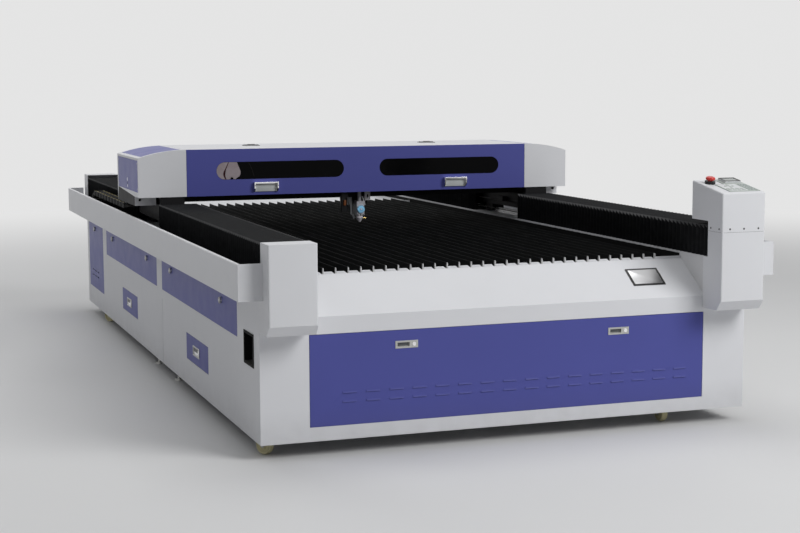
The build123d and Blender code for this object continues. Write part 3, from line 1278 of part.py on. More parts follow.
def focus_head():
    """Upper mirror mount, beam tube and lens block of the laser head."""
    back = GANTRY_FRONT + HEAD_BACK
    plate_front = GANTRY_FRONT + CROSS_BEAM_BACK - RAIL_HEIGHT - CARRIAGE_WALL - PLATE_SHEET
    half = HEAD_SIZE / 2
    low = OPTIC_HEIGHT - MIRROR_BLOCK_BELOW
    high = OPTIC_HEIGHT + MIRROR_BLOCK_ABOVE
    mirror = block(HEAD_X - half, HEAD_X + half, back - half, plate_front, low, high)
    cutter = Box(HEAD_MIRROR_CUT, 2 * HEAD_SIZE, HEAD_MIRROR_CUT)
    cut = Pos(HEAD_X - half, at(back), high) * Rotation(0, 45, 0) * cutter
    tube = rod_z(HEAD_X, back, HEAD_BLOCK_TOP, low, BEAM_TUBE_RADIUS)
    lens = block(HEAD_X - half, HEAD_X + half, back - half, plate_front, HEAD_BLOCK_BOTTOM, HEAD_BLOCK_TOP)
    lens = chamfer(lens.edges().filter_by(Axis.Z), HEAD_CHAMFER)
    cap = rod_y(HEAD_X, back - half - CAP_DEPTH, back - half, HEAD_BLOCK_BOTTOM + CAP_HEIGHT, CAP_RADIUS)
    bore = rod_z(HEAD_X, back, HEAD_BLOCK_BOTTOM - DEPTH_MARGIN, HEAD_BLOCK_BOTTOM + LENS_BORE_DEPTH,
                 LENS_RADIUS + RUNNING_FIT)
    return mirror - cut + tube + lens + cap - bore


def lens_tube():
    """Sliding lens tube with the conical nozzle on its lower end."""
    back = GANTRY_FRONT + HEAD_BACK
    cone_top = HEAD_BLOCK_BOTTOM - NOZZLE_TOP_GAP
    top = HEAD_BLOCK_BOTTOM + LENS_ENTRY
    height = cone_top - NOZZLE_TIP
    barrel = rod_z(HEAD_X, back, cone_top, top, LENS_RADIUS)
    cone = Cone(NOZZLE_TIP_RADIUS, LENS_RADIUS + SHEET, height)
    piece = barrel + Pos(HEAD_X, at(back), NOZZLE_TIP + height / 2) * cone
    return piece - rod_z(HEAD_X, back, NOZZLE_TIP - DEPTH_MARGIN, top + DEPTH_MARGIN, BEAM_BORE_RADIUS)


# Drag chain


def chain_path():
    """Pivots of the chain, from its end on the gantry round the bend to its fixed end."""
    low = TROUGH_BOTTOM + SHEET + CHAIN_LIFT + CHAIN_HEIGHT / 2
    high = low + 2 * CHAIN_RADIUS
    upper = CHAIN_BEND - CHAIN_MOVING
    curve = math.pi * CHAIN_RADIUS
    lower = CHAIN_BEND - CHAIN_FIXED
    count = round((upper + curve + lower) / CHAIN_PITCH)
    step = (upper + curve + lower) / count
    pivots = []
    for index in range(count + 1):
        run = index * step
        if run < upper:
            pivots.append((CHAIN_MOVING + run, high))
        elif run < upper + curve:
            angle = (run - upper) / CHAIN_RADIUS
            back = CHAIN_BEND + CHAIN_RADIUS * math.sin(angle)
            pivots.append((back, low + CHAIN_RADIUS + CHAIN_RADIUS * math.cos(angle)))
        else:
            pivots.append((CHAIN_BEND - (run - upper - curve), low))
    return pivots


def chain_link(length, half_width):
    """Link of two side plates and two cross bars, along Y from one pivot to the next."""
    half = CHAIN_HEIGHT / 2
    tip = half * 0.92
    corner = half * 0.45
    reach = length / 2
    side = reach + corner
    end = reach + tip
    outline = [(-end, -corner), (-side, -half), (side, -half), (end, -corner), (end, corner), (side, half),
               (-side, half), (-end, corner)]
    plate = extrude(Plane.YZ * make_face(Polyline(*outline, close=True)), CHAIN_SIDE, dir=(1, 0, 0))
    link = Pos(half_width - CHAIN_SIDE, 0, 0) * plate + Pos(-half_width, 0, 0) * plate
    bar = Box(2 * half_width - CHAIN_SIDE, CHAIN_BAR, CHAIN_SIDE)
    level = half - CHAIN_SIDE / 2
    return link + Pos(0, 0, level) * bar + Pos(0, 0, -level) * bar


def drag_chain():
    """Chain of wide and narrow links in turn, laid along its path."""
    pivots = chain_path()
    links = []
    for index in range(len(pivots) - 1):
        (back0, z0), (back1, z1) = pivots[index], pivots[index + 1]
        length = math.hypot(back1 - back0, z1 - z0)
        width = CHAIN_WIDTH / 2 - (index % 2) * (CHAIN_SIDE + SEAT_GAP)
        tilt = math.degrees(math.atan2(z1 - z0, back1 - back0))
        place = Pos(CHAIN_X, at((back0 + back1) / 2), (z0 + z1) / 2) * Rotation(tilt, 0, 0)
        links.append(place * chain_link(length, width))
    return links


# Casters


def caster_fork():
    """Swivel fork with its kingpin and axle, at the origin and trailing along Y."""
    top = FRAME_BOTTOM - RACE_DEPTH
    disc_height = CASTER_PLATE[2]
    crown = top - disc_height
    side = WHEEL_WIDTH / 2 + DEPTH_MARGIN
    fork = Pos(0, 0, top - disc_height / 2) * Cylinder(DISC_RADIUS, disc_height)
    fork += Pos(0, 0, top + RACE_DEPTH / 4) * Cylinder(KINGPIN_RADIUS, RACE_DEPTH)
    neck = DISC_RADIUS - FORK_SHEET
    toe = 12.0
    outline = Polyline((-neck, crown), (neck, crown), (CASTER_TRAIL + toe, WHEEL_RADIUS),
                       (CASTER_TRAIL, WHEEL_RADIUS - toe + DEPTH_MARGIN), (CASTER_TRAIL - toe, WHEEL_RADIUS),
                       close=True)
    leg = extrude(Plane.YZ * make_face(outline), FORK_SHEET, dir=(1, 0, 0))
    fork += Pos(side, 0, 0) * leg + Pos(-side - FORK_SHEET, 0, 0) * leg
    axle = Cylinder(AXLE_RADIUS, 2 * side + 4 * FORK_SHEET - 2 * DEPTH_MARGIN)
    return fork + Pos(0, CASTER_TRAIL, WHEEL_RADIUS) * Rotation(0, 90, 0) * axle


def caster_wheel():
    wheel = Cylinder(WHEEL_RADIUS, WHEEL_WIDTH)
    wheel = fillet(wheel.edges().filter_by(GeomType.CIRCLE), WHEEL_EDGE)
    wheel -= Cylinder(AXLE_RADIUS + RUNNING_FIT, WHEEL_WIDTH + 2 * DEPTH_MARGIN)
    return Pos(0, CASTER_TRAIL, WHEEL_RADIUS) * Rotation(0, 90, 0) * wheel


def main():
    save("base_frame", base_frame())
    save("y_rails", pair(y_rail()))
    save("skin_left", [skin_left()])
    save("skin_right", [skin_right()])
    save("skin_rear", [skin_rear()])
    save("front_fascia", [front_fascia()])
    save("slat_combs", [comb(BED_FRONT), comb(BED_REAR)])
    save("slats", slats())
    save("scrap_hopper", [scrap_hopper()])
    save("cable_troughs", pair(trough()))
    save("end_covers", end_covers())
    save("tower_base", [tower_base()])
    save("tower_top", [tower_top()])
    save("control_face", [control_face()])
    save("estop_collar", [estop_collar()])
    save("estop_button", [estop_button()])
    save("recess_pull", [recess_pull()])
    save("power_supply", [power_supply()])
    save("y_belts", pair(y_belt()))
    save("y_idlers", pair(y_idler()))
    save("y_drive_pulleys", pair(y_drive_pulley()))
    save("y_motors", pair(y_motor()))
    save("front_door", [front_door()])
    save("door_latches", [latch(-LATCH_X), latch(LATCH_X)])
    save("latch_button_left", [latch_button(-LATCH_X)])
    save("latch_button_right", [latch_button(LATCH_X)])
    save("side_panel_front", [side_pan(PANEL_ONE, PANEL_BOTTOM, PANEL_TOP)])
    save("side_panel_middle", [side_pan(PANEL_TWO, PANEL_BOTTOM, PANEL_TOP)])
    save("side_panel_rear", [tall_side_panel()])
    save("drawer_front", [drawer(DRAWER_ONE)])
    save("drawer_rear", [drawer(DRAWER_TWO)])
    save("bellows_front", pair(bellows(BELLOWS_START, GANTRY_FRONT)))
    save("bellows_rear", pair(bellows(GANTRY_FRONT + GANTRY_DEPTH, REAR_COVER[0])))
    save("gantry_feet", pair(gantry_foot()))
    save("gantry_beam", [gantry_beam()])
    save("gantry_cover", [gantry_cover()])
    save("end_panels", end_panels())
    save("gantry_lid", [gantry_lid()])
    save("lid_windows", lid_windows())
    save("lid_handles", pair(lid_handle()))
    save("lid_hinges", [lid_hinge(-HINGE_X), lid_hinge(HINGE_X)])
    save("laser_tube", [laser_tube()])
    save("beam_mirrors", [beam_mirrors()])
    save("x_rail", [x_rail()])
    save("x_belt", [x_belt()])
    save("x_idler", [x_idler()])
    save("x_drive_pulley", [x_drive_pulley()])
    save("x_motor", [x_motor()])
    save("head_carriage", [head_carriage()])
    save("focus_head", [focus_head()])
    save("lens_tube", [lens_tube()])
    save("drag_chain", drag_chain())
    for name, (x, back, turn) in CASTERS.items():
        place = Pos(x, at(back), 0) * Rotation(0, 0, turn)
        save("caster_fork_" + name, [place * caster_fork()])
        save("caster_wheel_" + name, [place * caster_wheel()])


main()
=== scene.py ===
"""Looks of the flat-bed laser cutter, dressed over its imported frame.

Every place is in metres in the frame's own axes: X across the machine, Y from the front
door towards the exhaust end and Z up from the floor.
"""

import json
import logging
import math
from dataclasses import dataclass
from enum import Enum
from typing import Callable, Optional, Sequence

import bmesh
import bpy
from mathutils import Matrix, Vector

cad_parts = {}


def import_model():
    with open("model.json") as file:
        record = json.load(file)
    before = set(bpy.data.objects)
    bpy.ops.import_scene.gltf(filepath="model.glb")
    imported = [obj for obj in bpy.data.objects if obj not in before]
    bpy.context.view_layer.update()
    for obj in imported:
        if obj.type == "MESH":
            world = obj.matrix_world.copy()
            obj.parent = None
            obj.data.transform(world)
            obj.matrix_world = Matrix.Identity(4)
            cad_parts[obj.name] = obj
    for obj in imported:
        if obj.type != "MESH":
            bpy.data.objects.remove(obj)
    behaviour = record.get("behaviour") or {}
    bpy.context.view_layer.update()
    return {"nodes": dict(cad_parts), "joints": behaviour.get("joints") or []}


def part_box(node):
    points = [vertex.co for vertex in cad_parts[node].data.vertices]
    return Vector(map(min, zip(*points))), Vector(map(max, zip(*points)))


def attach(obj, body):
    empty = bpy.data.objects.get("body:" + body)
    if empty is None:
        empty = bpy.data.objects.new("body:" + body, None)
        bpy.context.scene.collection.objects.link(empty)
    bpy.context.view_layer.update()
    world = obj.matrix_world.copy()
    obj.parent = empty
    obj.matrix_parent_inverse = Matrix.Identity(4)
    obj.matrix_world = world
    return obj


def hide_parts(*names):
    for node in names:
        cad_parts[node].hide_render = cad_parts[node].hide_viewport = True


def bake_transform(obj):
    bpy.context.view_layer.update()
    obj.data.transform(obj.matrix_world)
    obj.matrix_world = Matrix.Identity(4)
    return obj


log = logging.getLogger("cutter")

Colour = tuple[float, float, float]
Point = tuple[float, float, float]
Pair = tuple[float, float]
Socket = bpy.types.NodeSocket
Sockets = bpy.types.bpy_prop_collection

FRONT_FACE = -2.240
SIDES = (-1.0, 1.0)
NAMED_SIDES = (("left", -1.0), ("right", 1.0))
RIGHTWARD = (1.0, 0.0, 0.0)
FRONTWARD = (0.0, -1.0, 0.0)
SHARP_ANGLE = math.radians(28.0)
WELD_DISTANCE = 0.00002


def behind(distance: float) -> float:
    """Y of a place given as its distance behind the machine's front face."""
    return FRONT_FACE + distance


def shift(x: float, y: float, z: float) -> Matrix:
    """Matrix of a plain move."""
    return Matrix.Translation((x, y, z))


@dataclass(frozen=True)
class Extent:
    """Lowest and highest corner of a CAD node."""

    low: Vector
    high: Vector

    @classmethod
    def of(cls, node: str) -> "Extent":
        """Extent of one CAD node at rest."""
        low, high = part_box(node)
        return cls(low, high)

    @property
    def centre(self) -> Vector:
        """Middle of the extent."""
        return (self.low + self.high) / 2


class Axis(Enum):
    """Direction of a turned or drawn-out form, as the rotation that lays Z along it."""

    X = Matrix.Rotation(math.pi / 2, 4, "Y")
    Y = Matrix.Rotation(-math.pi / 2, 4, "X")
    Z = Matrix.Identity(4)


class Screw(Enum):
    """Head of a screw: how many sides it has, then (radius, place along the axis)."""

    DRAWER = (14, ((0.0022, 0.0), (0.0018, -0.0006)))
    DOOR = (14, ((0.0024, 0.0), (0.0018, -0.0008)))
    HINGE = (16, ((0.0032, 0.0), (0.0024, 0.0009)))
    HANDLE = (16, ((0.0022, 0.0), (0.0022, -0.0035)))
    BLOCK = (18, ((0.0030, 0.0), (0.0030, -0.0022), (0.0022, -0.0028)))
    HATCH = (18, ((0.0042, 0.0), (0.0040, -0.0002), (0.0022, -0.0003)))
    FLUSH = (20, ((0.0042, 0.0), (0.0041, -0.0002), (0.0030, -0.0003), (0.0008, -0.0003)))
    PAN = (20, ((0.0042, 0.0), (0.0040, -0.0010), (0.0028, -0.0020), (0.0008, -0.0022)))
    CAP = (24, ((0.0065, 0.0), (0.0065, -0.0040), (0.0055, -0.0050), (0.0030, -0.0050),
                (0.0028, -0.0030)))


class Graph:
    """Short way to add and join the nodes of one shader tree."""

    def __init__(self, tree: bpy.types.NodeTree) -> None:
        """Keeps the tree and its shader, where it has one."""
        self.tree = tree
        self.shader = tree.nodes.get("Principled BSDF")

    def add(self, kind: str, **settings: object) -> bpy.types.Node:
        """Adds a shader node.

        Args:
            kind: name of the node without its common prefix.
            settings: values for the node's own properties.

        Returns:
            The new node.
        """
        node = self.tree.nodes.new("ShaderNode" + kind)
        for name, value in settings.items():
            setattr(node, name, value)
        return node

    def feed(self, target: Socket, value: object) -> None:
        """Joins a socket to the target or sets the target to a value.

        Args:
            target: the socket that takes it.
            value: a socket, a number, or a colour of three or four numbers.
        """
        if isinstance(value, bpy.types.NodeSocket):
            self.tree.links.new(value, target)
        elif isinstance(value, tuple):
            target.default_value = (*value[:3], 1.0)
        else:
            target.default_value = value

    def give(self, label: str, value: object) -> None:
        """Feeds one of the shader's inputs."""
        self.feed(self.shader.inputs[label], value)

    def calc(self, operation: str, first: object, second: object = None,
             clamp: bool = False) -> Socket:
        """Result of one sum.

        Args:
            operation: name of the sum.
            first: first value or socket.
            second: second value or socket, where the sum has one.
            clamp: keeps the result between 0 and 1.

        Returns:
            The socket that holds the result.
        """
        node = self.add("Math", operation=operation, use_clamp=clamp)
        self.feed(node.inputs[0], first)
        if second is not None:
            self.feed(node.inputs[1], second)
        return node.outputs[0]

    def times(self, first: object, second: object, clamp: bool = False) -> Socket:
        """Product of two values."""
        return self.calc("MULTIPLY", first, second, clamp)

    def plus(self, first: object, second: object, clamp: bool = False) -> Socket:
        """Sum of two values."""
        return self.calc("ADD", first, second, clamp)

    def minus(self, first: object, second: object, clamp: bool = False) -> Socket:
        """First value less the second."""
        return self.calc("SUBTRACT", first, second, clamp)

    def ramp(self, value: object, start: float, gain: float) -> Socket:
        """Share from 0 to 1 that rises by the gain from the start on."""
        return self.times(self.minus(value, start), gain, clamp=True)

    def blend(self, share: object, first: object, second: object) -> Socket:
        """Colour between two colours, the second one at a share of 1."""
        node = self.add("Mix", data_type="RGBA")
        for index, value in ((0, share), (6, first), (7, second)):
            self.feed(node.inputs[index], value)
        return node.outputs[2]

    def parts(self, vector: Socket) -> Sockets:
        """X, Y and Z of a vector."""
        node = self.add("SeparateXYZ")
        self.feed(node.inputs[0], vector)
        return node.outputs

    def spot(self) -> Sockets:
        """X, Y and Z in the object's own space."""
        return self.parts(self.add("TexCoord").outputs["Object"])

    def noise(self, scale: object, detail: float = 3.0,
              stretch: Point = (1.0, 1.0, 1.0)) -> Socket:
        """Cloudy value over the object's own space.

        Args:
            scale: how many clouds a metre.
            detail: how much finer structure they hold.
            stretch: factors on X, Y and Z before the noise is read.

        Returns:
            The noise value's socket.
        """
        mapping = self.add("Mapping")
        mapping.inputs["Scale"].default_value = stretch
        self.feed(mapping.inputs["Vector"], self.add("TexCoord").outputs["Object"])
        node = self.add("TexNoise")
        self.feed(node.inputs["Vector"], mapping.outputs[0])
        self.feed(node.inputs["Scale"], scale)
        self.feed(node.inputs["Detail"], detail)
        return node.outputs["Fac"]

    def bump(self, height: Socket, distance: float, strength: float = 1.0) -> None:
        """Turns a height into the shader's normal.

        Args:
            height: socket with the height.
            distance: height in metres of a value of 1.
            strength: share of the effect.
        """
        node = self.add("Bump")
        self.feed(node.inputs["Strength"], strength)
        self.feed(node.inputs["Distance"], distance)
        self.feed(node.inputs["Height"], height)
        self.give("Normal", node.outputs["Normal"])

    def use(self, name: str, **values: object) -> Sockets:
        """Places a shared node group in a material.

        Args:
            name: the group's name.
            values: values for the group's inputs, with _ for a blank.

        Returns:
            The group's outputs.
        """
        node = self.tree.nodes.new("ShaderNodeGroup")
        node.node_tree = GROUPS[name]
        for label, value in values.items():
            self.feed(node.inputs[label.replace("_", " ")], value)
        return node.outputs


GROUPS: dict[str, bpy.types.NodeTree] = {}
MATERIALS: dict[str, bpy.types.Material] = {}


class Effects:
    """Node groups that several finishes share."""

    dust_colour: Colour = (0.42, 0.41, 0.39)
    grime_colour: Colour = (0.10, 0.09, 0.08)

    def start(self, name: str, inputs: dict[str, object],
              outputs: Sequence[str]) -> tuple[Graph, Sockets, Sockets]:
        """Starts a node group.

        Args:
            name: the group's name.
            inputs: input names with their starting values, colours as four numbers.
            outputs: output names.

        Returns:
            The group's graph, the sockets that it is given and those that it gives back.
        """
        tree = bpy.data.node_groups.new(name, "ShaderNodeTree")
        for label, value in inputs.items():
            kind = "NodeSocketColor" if isinstance(value, tuple) else "NodeSocketFloat"
            socket = tree.interface.new_socket(name=label, in_out="INPUT", socket_type=kind)
            socket.default_value = value
        for label in outputs:
            kind = "NodeSocketColor" if label == "Colour" else "NodeSocketFloat"
            tree.interface.new_socket(name=label, in_out="OUTPUT", socket_type=kind)
        GROUPS[name] = tree
        given = tree.nodes.new("NodeGroupInput").outputs
        return Graph(tree), given, tree.nodes.new("NodeGroupOutput").inputs

    def soiling(self) -> None:
        """Cloudy shade, settled dust on upward faces and floor grime low down."""
        start = {"Colour": (0.5, 0.5, 0.5, 1.0), "Mottle": 0.04, "Mottle Scale": 3.0,
                 "Dust": 0.1, "Grime": 0.1}
        graph, given, result = self.start("soiling", start, ("Colour", "Dirt"))
        shade = graph.times(graph.minus(graph.noise(given["Mottle Scale"], 4.0), 0.5),
                            given["Mottle"])
        tone = graph.add("HueSaturation")
        graph.feed(tone.inputs["Value"], graph.plus(shade, 1.0))
        graph.feed(tone.inputs["Color"], given["Colour"])
        normal = graph.parts(graph.add("NewGeometry").outputs["Normal"])
        up = graph.minus(graph.times(normal["Z"], 2.0), 1.0, clamp=True)
        dust = graph.times(graph.times(up, graph.noise(9.0, 6.0)), given["Dust"])
        low = graph.minus(1.0, graph.times(graph.spot()["Z"], 5.0), clamp=True)
        grime = graph.times(graph.times(low, graph.noise(14.0, 6.0)), given["Grime"])
        dusty = graph.blend(dust, tone.outputs["Color"], self.dust_colour)
        graph.feed(result["Colour"], graph.blend(grime, dusty, self.grime_colour))
        graph.feed(result["Dirt"], graph.plus(dust, grime, clamp=True))

    def peel(self) -> None:
        """Fine pebbled height of a sprayed or powder coat."""
        graph, given, result = self.start("peel", {"Scale": 400.0, "Depth": 1.0}, ("Height",))
        fine = graph.times(graph.noise(given["Scale"], 2.0), 0.6)
        broad = graph.times(graph.noise(graph.times(given["Scale"], 0.03), 2.0), 0.4)
        graph.feed(result["Height"], graph.times(graph.plus(fine, broad), given["Depth"]))

    def brushing(self) -> None:
        """Long fine lines of a rolled or ground metal, along Y."""
        start = {"Lines": 500.0, "Depth": 1.0}
        graph, given, result = self.start("brushing", start, ("Height", "Shade"))
        lines = graph.noise(given["Lines"], 3.0, (1.0, 0.04, 1.0))
        graph.feed(result["Height"], graph.times(lines, given["Depth"]))
        patches = graph.times(graph.noise(7.0, 5.0), 0.6)
        graph.feed(result["Shade"], graph.plus(graph.times(lines, 0.4), patches))

    def edge_wear(self) -> None:
        """Mask of rubbed edges, broken up by noise."""
        start = {"Amount": 0.5, "Scale": 60.0}
        graph, given, result = self.start("edge wear", start, ("Mask",))
        worn = graph.ramp(graph.add("NewGeometry").outputs["Pointiness"], 0.54, 14.0)
        patchy = graph.times(worn, graph.noise(given["Scale"], 5.0))
        graph.feed(result["Mask"], graph.times(patchy, given["Amount"], clamp=True))

    def weave(self) -> None:
        """Plain weave of coated cloth: crossed sets of threads and their shade."""
        graph, given, result = self.start("weave", {"Threads": 900.0}, ("Height", "Shade"))
        spot = graph.spot()
        runs = (graph.plus(spot["X"], spot["Z"]), spot["Y"])
        threads = [graph.calc("SINE", graph.times(run, given["Threads"])) for run in runs]
        height = graph.times(*threads)
        graph.feed(result["Height"], height)
        scuffs = graph.noise(24.0, 6.0, (1.0, 0.5, 1.0))
        graph.feed(result["Shade"], graph.plus(graph.times(height, 0.1), scuffs))

    def build(self) -> None:
        """Builds every group."""
        self.soiling()
        self.peel()
        self.brushing()
        self.edge_wear()
        self.weave()


def lit(colour: Colour, factor: float, lift: float = 0.0) -> Colour:
    """Colour times a factor with a lift added, at most white."""
    return tuple(min(1.0, factor * part + lift) for part in colour)


@dataclass(frozen=True)
class Finish:
    """What every finish has: a name, a colour, a roughness and the record's slot."""

    name: str
    slot: Optional[str]
    colour: Colour
    roughness: float

    def material(self) -> bpy.types.Material:
        """The finish's Blender material, made once."""
        if self.name not in MATERIALS:
            made = bpy.data.materials.new(self.name)
            made.use_nodes = True
            made.diffuse_color = (*self.colour, 1.0)
            self.shade(Graph(made.node_tree))
            MATERIALS[self.name] = made
        return MATERIALS[self.name]

    def shade(self, graph: Graph) -> None:
        """Joins the finish's own nodes to the shader."""
        raise NotImplementedError

    def rough(self, graph: Graph, source: object, spread: float) -> None:
        """Varies the roughness around its own value.

        Args:
            graph: the material's graph.
            source: socket with values from 0 to 1.
            spread: how far the roughness moves between those.
        """
        swing = graph.times(graph.minus(source, 0.5), spread)
        graph.give("Roughness", graph.plus(swing, self.roughness, clamp=True))


@dataclass(frozen=True)
class Coat(Finish):
    """Powder coat or paint on sheet metal."""

    gloss: float = 0.5
    mottle: float = 0.05
    dust: float = 0.12
    grime: float = 0.35

    def shade(self, graph: Graph) -> None:
        """Pebbled coat with cloudy shade, dust and grime."""
        dirt = graph.use("soiling", Colour=self.colour, Mottle=self.mottle, Mottle_Scale=2.5,
                         Dust=self.dust, Grime=self.grime)
        graph.give("Base Color", dirt["Colour"])
        graph.give("Specular IOR Level", self.gloss)
        self.rough(graph, graph.plus(graph.noise(11.0, 5.0), dirt["Dirt"]), 0.16)
        graph.bump(graph.use("peel", Scale=420.0)["Height"], 0.00006)


@dataclass(frozen=True)
class DarkBelowRim(Coat):
    """Coat of the bed's inner walls, near black below a ragged line under the rim and behind the
    comb.
    """

    rim: float = 0.737
    front: float = FRONT_FACE + 0.222
    blackening: Colour = (0.005, 0.005, 0.005)

    def shade(self, graph: Graph) -> None:
        """The plain coat, near black up to a ragged line."""
        super().shade(graph)
        coat = graph.shader.inputs["Base Color"].links[0].from_socket
        spot = graph.spot()
        ragged = graph.times(graph.noise(30.0, 7.0), 0.006)
        depth = graph.minus(graph.minus(self.rim + 0.002, ragged), spot["Z"])
        below = graph.times(depth, 500.0, clamp=True)
        share = graph.times(below, graph.ramp(spot["Y"], self.front, 200.0))
        graph.give("Base Color", graph.blend(share, coat, self.blackening))


@dataclass(frozen=True)
class Metal(Finish):
    """Bare, plated or ground metal."""

    lines: float = 600.0
    depth: float = 0.00004
    tarnish: float = 0.2

    def shade(self, graph: Graph) -> None:
        """Fine lines, patchy shade and brighter rubbed edges."""
        brushed = graph.use("brushing", Lines=self.lines)
        share = graph.times(brushed["Shade"], self.tarnish, clamp=True)
        shaded = graph.blend(share, self.colour, lit(self.colour, 0.45))
        worn = graph.use("edge wear", Amount=0.5)["Mask"]
        graph.give("Base Color", graph.blend(worn, shaded, lit(self.colour, 1.3)))
        graph.give("Metallic", 1.0)
        self.rough(graph, brushed["Shade"], 0.2)
        graph.bump(brushed["Height"], self.depth)


@dataclass(frozen=True)
class Burnt(Finish):
    """Steel slats blackened by cutting, with bare streaks and clean front ends."""

    clean: float = FRONT_FACE + 0.224
    steel: Colour = (0.032, 0.031, 0.030)
    bare_end: Colour = (0.60, 0.60, 0.60)

    def shade(self, graph: Graph) -> None:
        """Sooty crust over steel, worn through in streaks and gone at the front ends."""
        streaks = graph.noise(38.0, 8.0, (1.0, 0.12, 1.0))
        wear = graph.times(graph.ramp(streaks, 0.56, 3.0), 0.55)
        crust = graph.blend(wear, self.colour, self.steel)
        ragged = graph.times(streaks, 0.008)
        end = graph.minus(graph.plus(ragged, self.clean - 0.004), graph.spot()["Y"])
        share = graph.times(end, 500.0, clamp=True)
        graph.give("Base Color", graph.blend(share, crust, self.bare_end))
        graph.give("Specular IOR Level", 0.03)
        self.rough(graph, streaks, -0.3)
        graph.bump(graph.noise(320.0, 6.0), 0.0003)


@dataclass(frozen=True)
class Moulded(Finish):
    """Moulded plastic or rubber with a fine grain."""

    gloss: float = 0.5
    grain: float = 900.0
    depth: float = 0.00005

    def shade(self, graph: Graph) -> None:
        """Fine grain, slight cloud and a little dust."""
        dirt = graph.use("soiling", Colour=self.colour, Mottle=0.18, Mottle_Scale=30.0,
                         Dust=0.16, Grime=0.45)
        worn = graph.use("edge wear", Amount=0.35)["Mask"]
        graph.give("Base Color", graph.blend(worn, dirt["Colour"], lit(self.colour, 1.5, 0.02)))
        graph.give("Specular IOR Level", self.gloss)
        self.rough(graph, graph.noise(45.0, 5.0), 0.2)
        graph.bump(graph.noise(self.grain, 2.0), self.depth)


@dataclass(frozen=True)
class CoatedCloth(Finish):
    """Coated cloth of the bellows, dull on its folds and scuffed along them."""

    scuff: float = 0.016
    rubbed: Colour = (0.03, 0.03, 0.032)

    def shade(self, graph: Graph) -> None:
        """Woven height and scuffs."""
        weave = graph.use("weave", Threads=2400.0)
        share = graph.ramp(weave["Shade"], 0.42, 0.9)
        scuffed = graph.blend(share, self.colour, (self.scuff, self.scuff, self.scuff * 1.05))
        worn = graph.use("edge wear", Amount=0.9, Scale=30.0)["Mask"]
        graph.give("Base Color", graph.blend(worn, scuffed, self.rubbed))
        graph.give("Specular IOR Level", 0.03)
        self.rough(graph, weave["Shade"], 0.2)
        graph.bump(weave["Height"], 0.00008)


@dataclass(frozen=True)
class Pane(Finish):
    """Dark polished acrylic with faint fine scratches and smears."""

    smear: Colour = (0.008, 0.008, 0.009)

    def shade(self, graph: Graph) -> None:
        """Smears in the gloss over a nearly black sheet."""
        smears = graph.noise(8.0, 6.0, (1.0, 1.0, 3.0))
        share = graph.ramp(smears, 0.5, 0.5)
        graph.give("Base Color", graph.blend(share, self.colour, self.smear))
        graph.give("Specular IOR Level", 0.04)
        self.rough(graph, smears, 0.15)
        graph.bump(graph.noise(700.0, 2.0), 0.00001)


@dataclass(frozen=True)
class TubeGlass(Finish):
    """Clear glass of the laser tube with a faint tint."""

    tint: Colour = (0.80, 0.88, 0.9)

    def shade(self, graph: Graph) -> None:
        """Glass with slight waves along the tube."""
        waves = graph.noise(30.0, 2.0, (0.2, 1.0, 1.0))
        graph.give("Base Color", graph.blend(waves, self.colour, self.tint))
        graph.give("Transmission Weight", 0.85)
        self.rough(graph, waves, 0.04)
        graph.bump(waves, 0.0004, 0.4)


@dataclass(frozen=True)
class Paper(Finish):
    """Torn remnant of masking paper, creased and stained."""

    stain: Colour = (0.22, 0.17, 0.17)

    def shade(self, graph: Graph) -> None:
        """Fibrous mauve-grey paper with darker stains."""
        stains = graph.noise(26.0, 7.0)
        share = graph.ramp(stains, 0.45, 1.6)
        graph.give("Base Color", graph.blend(share, self.colour, self.stain))
        graph.give("Specular IOR Level", 0.2)
        self.rough(graph, stains, 0.1)
        graph.bump(graph.noise(160.0, 8.0), 0.0006)


@dataclass(frozen=True)
class Screen(Finish):
    """Display glass that is switched off, with a faint pattern of cells."""

    cell: Colour = (0.16, 0.19, 0.18)

    def shade(self, graph: Graph) -> None:
        """Smooth glass over faint cells."""
        graph.give("Base Color", graph.blend(graph.noise(500.0, 1.0), self.colour, self.cell))
        self.rough(graph, graph.noise(20.0, 4.0), 0.1)


WHITE = Coat("white_coat", "white_coat", (0.665, 0.67, 0.69), 0.42, gloss=0.2)
# Inner bed walls: the white coat, darkened to near black below a ragged line under the rim.
DARK_BELOW_RIM = DarkBelowRim("coat_dark_below_rim", "white_coat", (0.60, 0.60, 0.61), 0.6, gloss=0.03)
BLUE = Coat("blue_coat", "blue_coat", (0.078, 0.086, 0.305), 0.36, gloss=0.12, mottle=0.08,
            dust=0.04)
FRAME_BLACK = Coat("frame_black", "frame_steel", (0.012, 0.012, 0.013), 0.55, gloss=0.08,
                   dust=0.03)
PULL_PLATE = Coat("satin_plate", "chrome", (0.50, 0.52, 0.52), 0.4)
SILVER = Coat("clear_anodised", "aluminium", (0.66, 0.64, 0.68), 0.4, gloss=0.6, grime=0.0)
BLOCK_GREY = Coat("grey_anodised", "aluminium", (0.42, 0.42, 0.46), 0.4, gloss=0.6, grime=0.0)
ARM_GREY = Coat("arm_grey", "steel", (0.085, 0.09, 0.095), 0.4, gloss=0.3)
GROUND_STEEL = Metal("ground_steel", "steel", (0.55, 0.55, 0.56), 0.3)
ZINC = Metal("zinc_plate", "zinc", (0.50, 0.50, 0.48), 0.38, tarnish=0.35)
GALVANISED = Metal("galvanised_sheet", "galvanised", (0.46, 0.47, 0.48), 0.5, lines=120.0,
                   tarnish=0.5)
ALUMINIUM = Metal("anodised_aluminium", "aluminium", (0.62, 0.62, 0.63), 0.34, tarnish=0.12)
CHROME = Metal("chrome_plate", "chrome", (0.86, 0.86, 0.87), 0.08, lines=900.0,
               depth=0.00001, tarnish=0.08)
BRASS = Metal("brass_fitting", "aluminium", (0.72, 0.52, 0.20), 0.25)
DISC_BLUE = Metal("blue_anodised", "aluminium", (0.28, 0.60, 0.86), 0.4, tarnish=0.1)
BURNT = Burnt("burnt_slats", "blackened", (0.007, 0.0075, 0.0075), 0.55)
